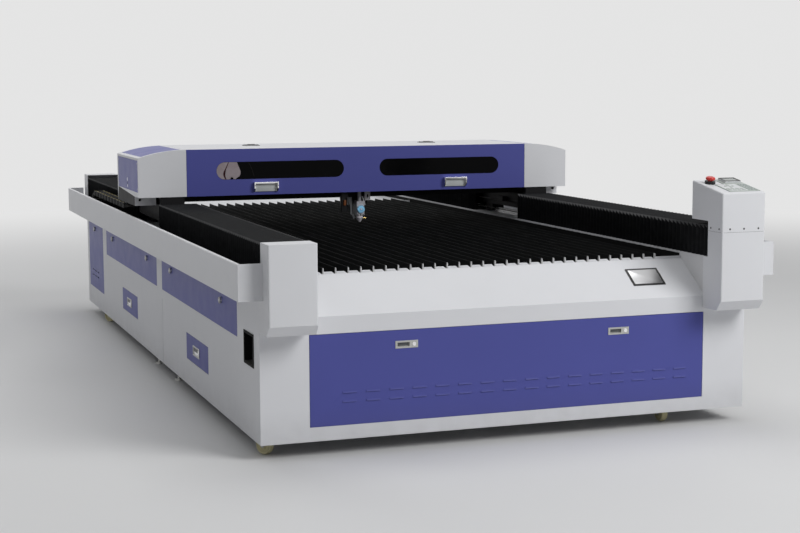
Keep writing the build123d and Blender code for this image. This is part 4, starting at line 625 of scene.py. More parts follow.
SOOT = Burnt("burnt_walls", "blackened", (0.007, 0.0075, 0.0075), 0.55, clean=-9.0)
CLOTH = CoatedCloth("bellows_cloth", "bellows", (0.006, 0.0065, 0.007), 0.62)
# Paler cloth of the bellows' cut corners: partly scuffed wear, partly a painted highlight where
# those facets face the light from above.
CLOTH_WEAR_AND_HIGHLIGHT = CoatedCloth("bellows_corner_wear_and_highlight", "bellows", (0.085, 0.085, 0.086), 0.6, scuff=0.13)
RUBBER = Moulded("drive_belt", "rubber", (0.012, 0.012, 0.012), 0.7, gloss=0.2)
BLACK_PLASTIC = Moulded("black_moulding", "black_plastic", (0.010, 0.010, 0.011), 0.42,
                        gloss=0.3)
MATT_BLACK = Moulded("matt_black_moulding", "black_plastic", (0.006, 0.006, 0.006), 0.6,
                     gloss=0.04)
ORANGE = Moulded("orange_connector", "black_plastic", (0.20, 0.065, 0.02), 0.5, gloss=0.2)
CONNECTOR_WHITE = Moulded("white_connector", "black_plastic", (0.74, 0.72, 0.75), 0.4)
CHAIN_PLASTIC = Moulded("chain_links", "chain_plastic", (0.008, 0.008, 0.008), 0.55, gloss=0.05)
CHAIN_MARK = Moulded("chain_marks", "chain_plastic", (0.26, 0.21, 0.05), 0.55, gloss=0.2)
KEYPAD = Moulded("keypad_film", "panel_plastic", (0.40, 0.44, 0.41), 0.4, gloss=0.2,
                 grain=1500.0)
KEY_WHITE = Moulded("key_white", "panel_plastic", (0.58, 0.59, 0.60), 0.4, gloss=0.2,
                    grain=1500.0)
KEY_GREY = Moulded("key_grey", "panel_plastic", (0.33, 0.37, 0.36), 0.4, gloss=0.2,
                   grain=1500.0)
SCREEN = Screen("display_glass", "panel_plastic", (0.38, 0.39, 0.38), 0.12)
RED = Moulded("stop_red", "red_plastic", (0.56, 0.025, 0.018), 0.28, grain=1500.0,
              depth=0.00002)
CREAM = Moulded("caster_cream", "caster_cream", (0.64, 0.59, 0.34), 0.4, gloss=0.3)
PANE = Pane("dark_acrylic", "acrylic", (0.0022, 0.0022, 0.0024), 0.10)
GLASS = TubeGlass("tube_glass", "glass", (0.9, 0.93, 0.94), 0.03)
PAPER = Paper("masking_paper", "acrylic", (0.33, 0.285, 0.30), 0.85)
TEAR = Moulded("tear_brown", "acrylic", (0.050, 0.016, 0.020), 0.8, gloss=0.1)
FILM_EDGE = Moulded("film_edge", "acrylic", (0.018, 0.016, 0.016), 0.5, gloss=0.1)


def circle(radius: float, count: int) -> list[Pair]:
    """Points round a circle, centred on zero."""
    turns = [2.0 * math.pi * index / count for index in range(count)]
    return [(radius * math.cos(turn), radius * math.sin(turn)) for turn in turns]


def oblong(half_x: float, half_y: float) -> list[Pair]:
    """Outline of a rectangle with square corners, centred on zero."""
    return [(-half_x, -half_y), (half_x, -half_y), (half_x, half_y), (-half_x, half_y)]


def rounded(width: float, height: float, radius: float, steps: int = 5) -> list[Pair]:
    """Outline of a rectangle with round corners, centred on zero.

    Args:
        width: its width.
        height: its height.
        radius: radius of the corners.
        steps: how many steps a corner has.

    Returns:
        The outline's points.
    """
    points = []
    for sign_x, sign_y, start in ((1, 1, 0.0), (-1, 1, 90.0), (-1, -1, 180.0), (1, -1, 270.0)):
        centre_x = sign_x * (width / 2 - radius)
        centre_y = sign_y * (height / 2 - radius)
        for step in range(steps + 1):
            angle = math.radians(start + 90.0 * step / steps)
            points.append((centre_x + radius * math.cos(angle),
                           centre_y + radius * math.sin(angle)))
    return points


def grid(columns: int, rows: int, start: Pair, step: Pair) -> list[Pair]:
    """Places of a grid, row by row.

    Args:
        columns: how many places a row has.
        rows: how many rows there are.
        start: the first place.
        step: distances between columns and between rows.

    Returns:
        The places.
    """
    return [(start[0] + column * step[0], start[1] + row * step[1])
            for row in range(rows) for column in range(columns)]


def plane_at(origin: Sequence[float], across: Sequence[float], out: Sequence[float]) -> Matrix:
    """Matrix of a work plane.

    Args:
        origin: the plane's zero.
        across: direction of the plane's X.
        out: direction of the plane's Z.

    Returns:
        The plane's matrix, with its Y square to both.
    """
    z = Vector(out).normalized()
    x = (Vector(across) - z * Vector(across).dot(z)).normalized()
    y = z.cross(x)
    turn = Matrix((x, y, z)).transposed().to_4x4()
    return Matrix.Translation(Vector(origin)) @ turn


def upright(x: float, y: float, z: float) -> Matrix:
    """Work plane that looks towards the front, with its Y upwards."""
    return plane_at((x, y, z), RIGHTWARD, FRONTWARD)


class Form:
    """A mesh under construction from machined forms. Each method returns the form itself."""

    def __init__(self) -> None:
        """Starts with an empty mesh."""
        self.mesh = bmesh.new()

    def soften(self, lines: set[bmesh.types.BMEdge], edge: float) -> "Form":
        """Rounds edges by a width, or leaves them sharp at zero."""
        if edge > 0.0:
            bmesh.ops.bevel(self.mesh, geom=list(lines), offset=edge, segments=2, profile=0.5,
                            affect="EDGES")
        return self

    def block(self, low: Sequence[float], high: Sequence[float], edge: float = 0.0) -> "Form":
        """Adds a box with rounded edges.

        Args:
            low: lowest corner.
            high: highest corner.
            edge: width of the rounding.

        Returns:
            The form itself.
        """
        size = Vector(high) - Vector(low)
        middle = (Vector(high) + Vector(low)) / 2
        place = Matrix.LocRotScale(middle, None, size)
        corners = bmesh.ops.create_cube(self.mesh, size=1.0, matrix=place)["verts"]
        return self.soften({line for corner in corners for line in corner.link_edges}, edge)

    def strip(self, lower: list[bmesh.types.BMVert],
              upper: list[bmesh.types.BMVert]) -> list[bmesh.types.BMFace]:
        """Closes the strip between two loops of corners.

        Args:
            lower: the first loop.
            upper: the second loop, with as many corners.

        Returns:
            The new faces.
        """
        faces = []
        for index in range(len(lower)):
            after = (index + 1) % len(lower)
            corners = (lower[index], lower[after], upper[after], upper[index])
            faces.append(self.mesh.faces.new(corners))
        return faces

    def turned(self, centre: Sequence[float], axis: Axis, profile: Sequence[Pair],
               sides: int) -> "Form":
        """Adds a turned solid.

        Args:
            centre: where the profile's zero lies.
            axis: direction of the turning axis.
            profile: (radius, place along the axis) from one end to the other.
            sides: how many sides the round has.

        Returns:
            The form itself.
        """
        place = Matrix.Translation(Vector(centre)) @ axis.value
        rings = []
        for radius, along in profile:
            spots = [Vector((x, y, along)) for x, y in circle(radius, sides)]
            rings.append([self.mesh.verts.new(place @ spot) for spot in spots])
        for lower, upper in zip(rings, rings[1:]):
            self.strip(lower, upper)
        self.mesh.faces.new(list(reversed(rings[0])))
        self.mesh.faces.new(rings[-1])
        return self

    def rod(self, centre: Sequence[float], axis: Axis, radius: float, length: float,
            edge: float, sides: int) -> "Form":
        """Adds a round bar around its centre, with chamfered ends.

        Args:
            centre: middle of the bar.
            axis: direction of the bar.
            radius: its radius.
            length: its length.
            edge: width of the chamfers.
            sides: how many sides the round has.

        Returns:
            The form itself.
        """
        half = length / 2
        profile = [(radius - edge, -half), (radius, edge - half), (radius, half - edge),
                   (radius - edge, half)]
        return self.turned(centre, axis, profile if edge else profile[1:3], sides)

    def heads(self, screw: Screw, axis: Axis, spots: Sequence[Point], out: float = 1.0) -> "Form":
        """Adds screw heads.

        Args:
            screw: kind of head.
            axis: direction of the screws.
            spots: where they sit.
            out: -1 turns the heads round to look the other way.

        Returns:
            The form itself.
        """
        sides, profile = screw.value
        for spot in spots:
            self.turned(spot, axis, [(radius, along * out) for radius, along in profile], sides)
        return self

    def prism(self, outline: Sequence[Pair], place: Matrix, depth: float,
              edge: float = 0.0) -> "Form":
        """Adds a flat outline drawn out along its own Z.

        Args:
            outline: points in the outline's own X and Y.
            place: where that plane lies.
            depth: length of the drawing.
            edge: width of the rounding.

        Returns:
            The form itself.
        """
        base = [self.mesh.verts.new(place @ Vector((x, y, 0.0))) for x, y in outline]
        top = [self.mesh.verts.new(place @ Vector((x, y, depth))) for x, y in outline]
        faces = [self.mesh.faces.new(list(reversed(base))), self.mesh.faces.new(top)]
        faces += self.strip(base, top)
        return self.soften({line for face in faces for line in face.edges}, edge)

    def frame(self, low: Point, high: Point, width: float, edge: float) -> "Form":
        """Adds four bars round an opening that looks along X.

        Args:
            low: lowest corner of the whole frame.
            high: highest corner of the whole frame.
            width: width of each bar.
            edge: width of the rounding.

        Returns:
            The form itself.
        """
        (x0, y0, z0), (x1, y1, z1) = low, high
        self.block((x0, y0, z0), (x1, y0 + width, z1), edge)
        self.block((x0, y0 + width, z0), (x1, y1 - width, z0 + width), edge)
        self.block((x0, y1 - width, z0), (x1, y1, z1), edge)
        return self.block((x0, y0 + width, z1 - width), (x1, y1 - width, z1), edge)

    def triangulated(self) -> "Form":
        """Cuts every face into triangles, for outlines that bend inwards."""
        bmesh.ops.triangulate(self.mesh, faces=self.mesh.faces)
        return self

    def piece(self, name: str, finish: Finish, body: str,
              smooth: float = 35.0) -> bpy.types.Object:
        """Closes the form as a piece of the machine.

        Args:
            name: the piece's name.
            finish: its finish.
            body: the frame's body that it rides on.
            smooth: edges sharper than this angle in degrees stay sharp.

        Returns:
            The new object.
        """
        shown = self.loose(name, finish, smooth)
        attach(shown, body)
        return shown

    def loose(self, name: str, finish: Finish, smooth: float = 35.0) -> bpy.types.Object:
        """Closes the form as an object that rides on nothing yet.

        Args:
            name: the piece's name.
            finish: its finish.
            smooth: edges sharper than this angle in degrees stay sharp.

        Returns:
            The new object.
        """
        bmesh.ops.recalc_face_normals(self.mesh, faces=self.mesh.faces)
        data = bpy.data.meshes.new(name)
        self.mesh.to_mesh(data)
        self.mesh.free()
        data.polygons.foreach_set("use_smooth", [True] * len(data.polygons))
        data.set_sharp_from_angle(angle=math.radians(smooth))
        shown = bpy.data.objects.new(name, data)
        bpy.context.scene.collection.objects.link(shown)
        data.materials.append(finish.material())
        log.info("made %s with %d faces", name, len(data.polygons))
        return shown


Zone = tuple[Finish, Callable[[Vector, Vector], bool]]


@dataclass
class CadDresser:
    """Finishes and soft edges of the CAD nodes."""

    nodes: dict[str, bpy.types.Object]
    foot_top: float = 0.1045
    soot_half: float = 0.8995
    soot_low: float = 0.60
    wall: float = 0.900
    wall_low: float = 0.55
    bracket_inner: float = 1.08
    bracket_top: float = 0.9145
    bezel_lift: float = 0.0035
    rim_lift: float = 0.008
    leaf_lift: float = 0.0002
    top_drop: float = 0.004

    def dress(self, node: str, finish: Finish, edge: float = 0.0,
              zones: Sequence[Zone] = ()) -> None:
        """Gives one node its finish.

        Args:
            node: the node's name.
            finish: the finish of most of its faces.
            edge: width of the softened edges, or none.
            zones: other finishes with a test on a face's centre and normal.
        """
        shown = self.nodes[node]
        data = shown.data
        data.materials.clear()
        for made in (finish, *[zone[0] for zone in zones]):
            data.materials.append(made.material())
        for face in data.polygons:
            face.material_index = 0
            for index, (_, inside) in enumerate(zones):
                if inside(face.center, face.normal):
                    face.material_index = index + 1
        for name in ("custom_normal", "sharp_face", "sharp_edge"):
            if name in data.attributes:
                data.attributes.remove(data.attributes[name])
        data.polygons.foreach_set("use_smooth", [True] * len(data.polygons))
        weld = shown.modifiers.new("weld", "WELD")
        weld.merge_threshold = WELD_DISTANCE
        if edge > 0.0:
            soft = shown.modifiers.new("soft edges", "BEVEL")
            soft.width = edge
            soft.segments = 2
            soft.limit_method = "ANGLE"
            soft.angle_limit = SHARP_ANGLE
            soft.harden_normals = True
        else:
            split = shown.modifiers.new("sharp edges", "EDGE_SPLIT")
            split.split_angle = SHARP_ANGLE
        log.info("dressed %s", node)

    def dress_zoned(self) -> None:
        """Gives the nodes with more than one finish theirs."""
        feet = (ZINC, lambda centre, normal: centre.z < self.foot_top)
        blackening = (SOOT, lambda centre, normal: abs(centre.x) < self.soot_half
                and centre.z > self.soot_low)
        walls = (DARK_BELOW_RIM, lambda centre, normal: abs(abs(centre.x) - self.wall) < 0.001
                 and centre.x * normal.x < 0.0 and centre.z > self.wall_low)
        self.dress("base_frame", WHITE, 0.0, (feet, blackening, walls))
        bracket = (FRAME_BLACK, lambda centre, normal: abs(centre.x) > self.bracket_inner
                   and centre.z < self.bracket_top and abs(normal.y) < 0.5)
        self.dress("gantry_cover", WHITE, 0.0006, (bracket,))
        desk = ControlTower().desk(1.0, 0.0).inverted()
        bezel = (KEY_WHITE, lambda centre, normal: (desk @ centre).z > self.bezel_lift)
        rim = (BLACK_PLASTIC, lambda centre, normal: (desk @ centre).z > self.rim_lift
               and normal.z > 0.9)
        self.dress("control_face", KEYPAD, 0.0006, (bezel, rim))
        slope = Extent.of("lid_hinges").low.z
        leaf = (BLACK_PLASTIC, lambda centre, normal: centre.z > slope + self.leaf_lift)
        top = (WHITE, lambda centre, normal: centre.z > slope - self.top_drop
               and normal.z > 0.5)
        self.dress("gantry_lid", BLUE, 0.0005, (leaf, top))

    def build(self) -> None:
        """Gives every shown CAD node its finish and the width of its soft edges."""
        self.dress_zoned()
        plain = (
            (WHITE, 0.0006, "skin_left skin_right skin_rear front_fascia slat_combs"),
            (WHITE, 0.0006, "cable_troughs end_covers tower_base tower_top"),
            (BLUE, 0.0005, "end_panels front_door side_panel_front side_panel_middle"),
            (BLUE, 0.0005, "side_panel_rear drawer_front drawer_rear"),
            (GROUND_STEEL, 0.0, "y_rails x_rail"),
            (BURNT, 0.0003, "slats"),
            (GALVANISED, 0.0, "scrap_hopper"),
            (BLACK_PLASTIC, 0.001, "estop_collar y_motors x_motor"),
            (BLACK_PLASTIC, 0.0004, "lid_hinges"),
            (MATT_BLACK, 0.0015, "recess_pull"),
            (ALUMINIUM, 0.001, "power_supply"),
            (ALUMINIUM, 0.0005, "y_idlers y_drive_pulleys x_idler x_drive_pulley"),
            (ALUMINIUM, 0.0006, "beam_mirrors"),
            (RUBBER, 0.0, "y_belts x_belt"),
            (FRAME_BLACK, 0.001, "gantry_feet gantry_beam"),
            (FRAME_BLACK, 0.0008, "head_carriage"),
            (GLASS, 0.0, "laser_tube"),
            (PANE, 0.0, "lid_windows"),
            (CHROME, 0.0012, "lid_handles"),
            (CHROME, 0.0004, "latch_button_left latch_button_right"),
            (BLOCK_GREY, 0.0008, "focus_head"),
            (SILVER, 0.0004, "lens_tube"),
            (ZINC, 0.0005, "door_latches caster_fork_front_left caster_fork_front_right"),
            (ZINC, 0.0005, "caster_fork_rear_left caster_fork_rear_right"),
        )
        for finish, edge, nodes in plain:
            for node in nodes.split():
                self.dress(node, finish, edge)


def fold_between(shown: bpy.types.Object) -> None:
    """Bakes a piece's placement into its mesh.

    Args:
        shown: the piece, with no parent.
    """
    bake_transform(shown)


@dataclass
class Bellows:
    """Folded covers over the guide rails, in front of and behind the gantry.

    A fold's rows are (share of the pitch, share of the fold's depth, width of the cut
    corner). A stretch's hull is its left and right side and its lower and upper level.
    """

    pitch: float = 0.035
    side_fold: float = 0.012
    top_fold: float = 0.006
    cloth: float = 0.0008
    inner_edge: float = 0.901
    sharp: float = 12.0
    shares: tuple[float, ...] = (0.0, 0.05, 0.25, 0.5, 0.75, 0.95, 1.0)
    fold: tuple[Point, ...] = ((0.0, 1.0, 0.004), (0.42, 0.08, 0.003), (0.5, 0.0, 0.002),
                               (0.58, 0.08, 0.003))

    def section(self, y: float, depth: float, corner: float,
                hull: tuple[float, ...]) -> list[Point]:
        """Points of the cover's cross-section at one place.

        Args:
            y: the place along the rail.
            depth: share of the fold's depth, 0 on a ridge and 1 in a valley.
            corner: width of the cut corner.
            hull: the stretch's hull.

        Returns:
            Six points from one lower edge over the top to the other.
        """
        left = hull[0] + depth * self.side_fold
        right = hull[1] - depth * self.side_fold
        low, high = hull[2], hull[3] - depth * self.top_fold
        cut = corner + depth * self.side_fold
        return [(left, y, low), (left, y, high - cut), (left + cut, y, high),
                (right - cut, y, high), (right, y, high - cut), (right, y, low)]

    def stretch(self, name: str, start: float, end: float,
                hull: tuple[float, ...]) -> bpy.types.Object:
        """Builds one stretch of folds, with bands of paler cloth along its corners: partly wear,
        partly a painted highlight on the cut corners that face the light.

        Args:
            name: the piece's name.
            start: Y of its front end.
            end: Y of its rear end.
            hull: its hull.

        Returns:
            The stretch, which rides on nothing yet.
        """
        form = Form()
        folds = max(1, round((end - start) / self.pitch))
        step = (end - start) / folds
        rows = []
        for index in range(folds):
            base = start + index * step
            rows += [self.section(base + share * step, depth, corner, hull)
                     for share, depth, corner in self.fold]
        rows.append(self.section(end, *self.fold[0][1:], hull))
        made = [[form.mesh.verts.new(point) for point in row] for row in rows]
        bands = len(rows[0]) - 1
        for front, rear in zip(made, made[1:]):
            for index in range(bands):
                corners = (front[index], front[index + 1], rear[index + 1], rear[index])
                form.mesh.faces.new(corners)
        shown = form.loose(name, CLOTH, self.sharp)
        # The cut-corner bands take the paler cloth: partly wear, partly a painted highlight.
        shown.data.materials.append(CLOTH_WEAR_AND_HIGHLIGHT.material())
        for face in shown.data.polygons:
            if face.index % bands in (1, 3):
                face.material_index = 1
        thick = shown.modifiers.new("cloth", "SOLIDIFY")
        thick.thickness = self.cloth
        thick.offset = -1.0
        return shown

    def build(self) -> None:
        """Builds all four covers."""
        for node, fixed_first in (("bellows_front", True), ("bellows_rear", False)):
            extent = Extent.of(node)
            low, high = extent.low, extent.high
            for label, side in NAMED_SIDES:
                edges = sorted((side * self.inner_edge, side * high.x))
                for index, (first, last) in enumerate(zip(self.shares, self.shares[1:])):
                    start = low.y + first * (high.y - low.y)
                    end = low.y + last * (high.y - low.y)
                    name = f"{node}_{label}_{index + 1}"
                    shown = self.stretch(name, start, end, (*edges, low.z, high.z))
                    if not fixed_first:
                        first, last = 1.0 - first, 1.0 - last
                    fold_between(shown)
                    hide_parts(node)


@dataclass
class DragChain:
    """Cable chain that lies in the left trough and rolls over with the gantry."""

    link_height: float = 0.030
    pitch: float = 0.050
    plate: float = 0.003
    plate_gap: float = 0.0003
    bar: Point = (0.014, 0.003, 0.001)
    clip: Point = (0.012, 0.0012, 0.0005)
    clip_length: float = 0.007
    clip_inset: float = 0.006
    fixed_end: float = 0.460
    moving_end: float = 0.360
    bend_share: float = 0.5

    def pivots(self, low: Vector, high: Vector) -> list[Pair]:
        """Places of the joints between links.

        Args:
            low: lowest corner of the chain.
            high: highest corner of the chain.

        Returns:
            (Y, Z) from the gantry's end round the bend to the fixed end.
        """
        half = self.link_height / 2
        radius = (high.z - low.z) / 2 - half
        bend = high.y - radius - half
        centre = (high.z + low.z) / 2
        upper = bend - self.moving_end
        whole = upper + math.pi * radius + (bend - self.fixed_end)
        count = round(whole / self.pitch)
        places = []
        for index in range(count + 1):
            run = whole * index / count
            if run < upper:
                places.append((self.moving_end + run, centre + radius))
            elif run < upper + math.pi * radius:
                angle = (run - upper) / radius
                places.append((bend + radius * math.sin(angle),
                               centre + radius * math.cos(angle)))
            else:
                places.append((bend - (run - upper - math.pi * radius), centre - radius))
        return places

    def link(self, form: Form, clips: Form, place: Matrix, length: float,
             half_width: float) -> None:
        """Adds one link and the coloured clips on its outer bars.

        Args:
            form: form that takes the black parts.
            clips: form that takes the clips.
            place: matrix of the link's middle, with its X along the chain and its Z across.
            length: distance between its two joints.
            half_width: half of its width.
        """
        height = self.link_height * 0.92
        outline = rounded(length + height * 0.9, height, height * 0.45)
        for start in (-half_width, half_width - self.plate):
            form.prism(outline, place @ shift(0.0, 0.0, start), self.plate, 0.0006)
        for side in SIDES:
            level = shift(0.0, side * (height / 2 - 0.0022), -half_width)
            form.prism(rounded(*self.bar, 2), place @ level, 2.0 * half_width)
        for end in SIDES:
            inner = end * (half_width - self.clip_inset) - self.clip_length / 2
            level = shift(0.0, height / 2 - 0.0002, inner)
            clips.prism(rounded(*self.clip, 2), place @ level, self.clip_length)

    def build(self) -> None:
        """Builds the chain in its upper, lower and bent runs."""
        extent = Extent.of("drag_chain")
        low, high, centre = extent.low, extent.high, extent.centre
        places = self.pivots(low, high)
        bend = high.y - (high.z - low.z) / 2
        runs: dict[str, tuple[Form, Form, list[float]]] = {}
        for index, ((y0, z0), (y1, z1)) in enumerate(zip(places, places[1:])):
            level = (z0 + z1) / 2
            key = "bend" if max(y0, y1) > bend else "upper" if level > centre.z else "lower"
            form, clips, ends = runs.setdefault(key, (Form(), Form(), []))
            along = Vector((0.0, y1 - y0, z1 - z0))
            place = plane_at((centre.x, (y0 + y1) / 2, level), along, RIGHTWARD)
            inset = 0.0 if index % 2 == 0 else self.plate + self.plate_gap
            self.link(form, clips, place, along.length, (high.x - low.x) / 2 - inset)
            ends.extend((y0, y1))
        shares = {"upper": 1.0, "lower": 0.0}
        for key, (form, clips, ends) in runs.items():
            for shown in (form.loose(f"chain_{key}", CHAIN_PLASTIC),
                          clips.loose(f"chain_{key}_clips", CHAIN_MARK)):
                if key in shares:
                    fold_between(shown)
                else:
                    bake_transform(shown)
                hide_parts("drag_chain")


@dataclass
class Casters:
    """Wheels with a moulded tread and a hub, and the nuts of their axles."""

    joints: Sequence[dict]
    radius: float = 0.038
    width: float = 0.028
    bore: float = 0.0051
    nut_radius: float = 0.0075
    nut_depth: float = 0.004
    nut_gap: float = 0.0042
    names: tuple[str, ...] = ("front_left", "front_right", "rear_left", "rear_right")

    def profile(self) -> list[Pair]:
        """Half of a wheel's section, from the bore round the tread and back."""
        half = self.width / 2
        outer = [(self.bore, -half + 0.001), (0.012, -half + 0.001), (0.014, -half + 0.004),
                 (0.026, -half + 0.005), (0.029, -half + 0.0015), (0.034, -half),
                 (self.radius - 0.001, -half + 0.004), (self.radius, -half + 0.009)]
        return outer + [(radius, -along) for radius, along in reversed(outer)]

    def build(self) -> None:
        """Builds the four wheels on their joints' places."""
        joints = {joint["name"]: joint for joint in self.joints}
        nut = circle(self.nut_radius, 6)
        for name in self.names:
            joint = joints[f"roll_{name}"]
            place = plane_at(joint["pos_m"], (0.0, 0.0, 1.0), joint["axis"])
            form = Form().turned((0.0, 0.0, 0.0), Axis.Z, self.profile(), 56)
            form.mesh.transform(place)
            wheel = form.piece(f"wheel_{name}", CREAM, f"wheel_{name}", 40.0)
            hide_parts(f"caster_wheel_{name}")
            nuts = Form()
            outer = self.width / 2 + self.nut_gap
            for start in (-outer - self.nut_depth, outer):
                nuts.prism(nut, place @ shift(0.0, 0.0, start), self.nut_depth, 0.0006)
            nuts.piece(f"caster_nuts_{name}", ZINC, f"fork_{name}")


@dataclass
class SidePanels:
    """Locks on the left side's panels and pull latches on its two drawers.

    A lock is (name, distance behind the front face, height, body).
    """

    skin: float = -1.100
    lock_radius: float = 0.0145
    locks: tuple[tuple[str, float, float, str], ...] = (
        ("lock_front_1", 0.650, 0.567, "panel_front"),
        ("lock_front_2", 1.731, 0.573, "panel_front"),
        ("lock_middle_1", 2.374, 0.568, "panel_middle"),
        ("lock_middle_2", 3.483, 0.566, "panel_middle"),
        ("lock_rear", 4.170, 0.566, "panel_rear"),
    )
    latch: Pair = (0.133, 0.047)
    latch_shift: float = 0.0145
    latch_depth: float = 0.003
    pan_depth: float = 0.0008
    bezel: float = 0.007
    seam: float = 1.975
    seam_half: float = 0.004
    seam_top: float = 0.400
    ground_gap: float = 0.060

    def lock(self, name: str, distance: float, height: float, body: str) -> None:
        """Builds one cam lock.

        Args:
            name: the piece's name.
            distance: its place behind the front face.
            height: its height.
            body: the panel's body.
        """
        x, y, outer = self.skin, behind(distance), self.lock_radius
        collar = [(outer, 0.0), (outer, -0.0085), (outer - 0.0015, -0.010),
                  (outer - 0.0035, -0.010), (outer - 0.005, -0.007), (0.0010, -0.007)]
        core = [(outer - 0.0055, 0.0), (outer - 0.0055, -0.0012), (outer - 0.0070, -0.0020)]
        Form().turned((x, y, height), Axis.X, collar, 36).piece(name, ZINC, body)
        Form().turned((x - 0.0068, y, height), Axis.X, core, 30).piece(
            f"{name}_core", MATT_BLACK, body)
        Form().block((x - 0.0105, y - 0.0012, height - 0.006),
                     (x - 0.0085, y + 0.0012, height + 0.006), 0.0003).piece(
            f"{name}_slot", CHROME, body)

    def pull_latch(self, name: str, node: str, body: str) -> None:
        """Builds one flush pull latch in the middle of a drawer's face.

        Args:
            name: the piece's name.
            node: the drawer's node.
            body: the drawer's body.
        """
        extent = Extent.of(node)
        x, y, z = extent.low.x, extent.centre.y + self.latch_shift, extent.centre.z
        half_y, half_z = self.latch[0] / 2, self.latch[1] / 2
        back = x - self.pan_depth
        left, right = y - half_y + self.bezel, y + half_y - self.bezel
        low, high = z - half_z + self.bezel, z + half_z - self.bezel
        Form().frame((x - self.latch_depth, y - half_y, z - half_z),
                     (x, y + half_y, z + half_z), self.bezel, 0.0008).piece(
            f"{name}_rim", ZINC, body)
        Form().block((back, left, low), (x, right, high)).piece(f"{name}_pan", ARM_GREY, body)
        tab = Form()
        tab.block((x - 0.0026, left + 0.022, low + 0.001), (back, right - 0.003, z - 0.001),
                  0.0006)
        tab.block((x - 0.0030, left + 0.002, low + 0.002), (back, left + 0.018, high - 0.002),
                  0.0008)
        tab.piece(f"{name}_tab", CHROME, body)
        spots = [(x - self.latch_depth, y + side * (half_y - 0.004), z + end * (half_z - 0.004))
                 for side in SIDES for end in SIDES]
        Form().heads(Screw.DRAWER, Axis.X, spots).piece(f"{name}_screws", CHROME, body)

    def build(self) -> None:
        """Builds the locks, the latches and the cover strip of the skin's joint."""
        for lock in self.locks:
            self.lock(*lock)
        self.pull_latch("drawer_latch_front", "drawer_front", "drawer_one")
        self.pull_latch("drawer_latch_rear", "drawer_rear", "drawer_two")
        y = behind(self.seam)
        Form().block((self.skin - 0.0008, y - self.seam_half, self.ground_gap),
                     (self.skin, y + self.seam_half, self.seam_top), 0.0003).piece(
            "skin_seam", WHITE, "base")


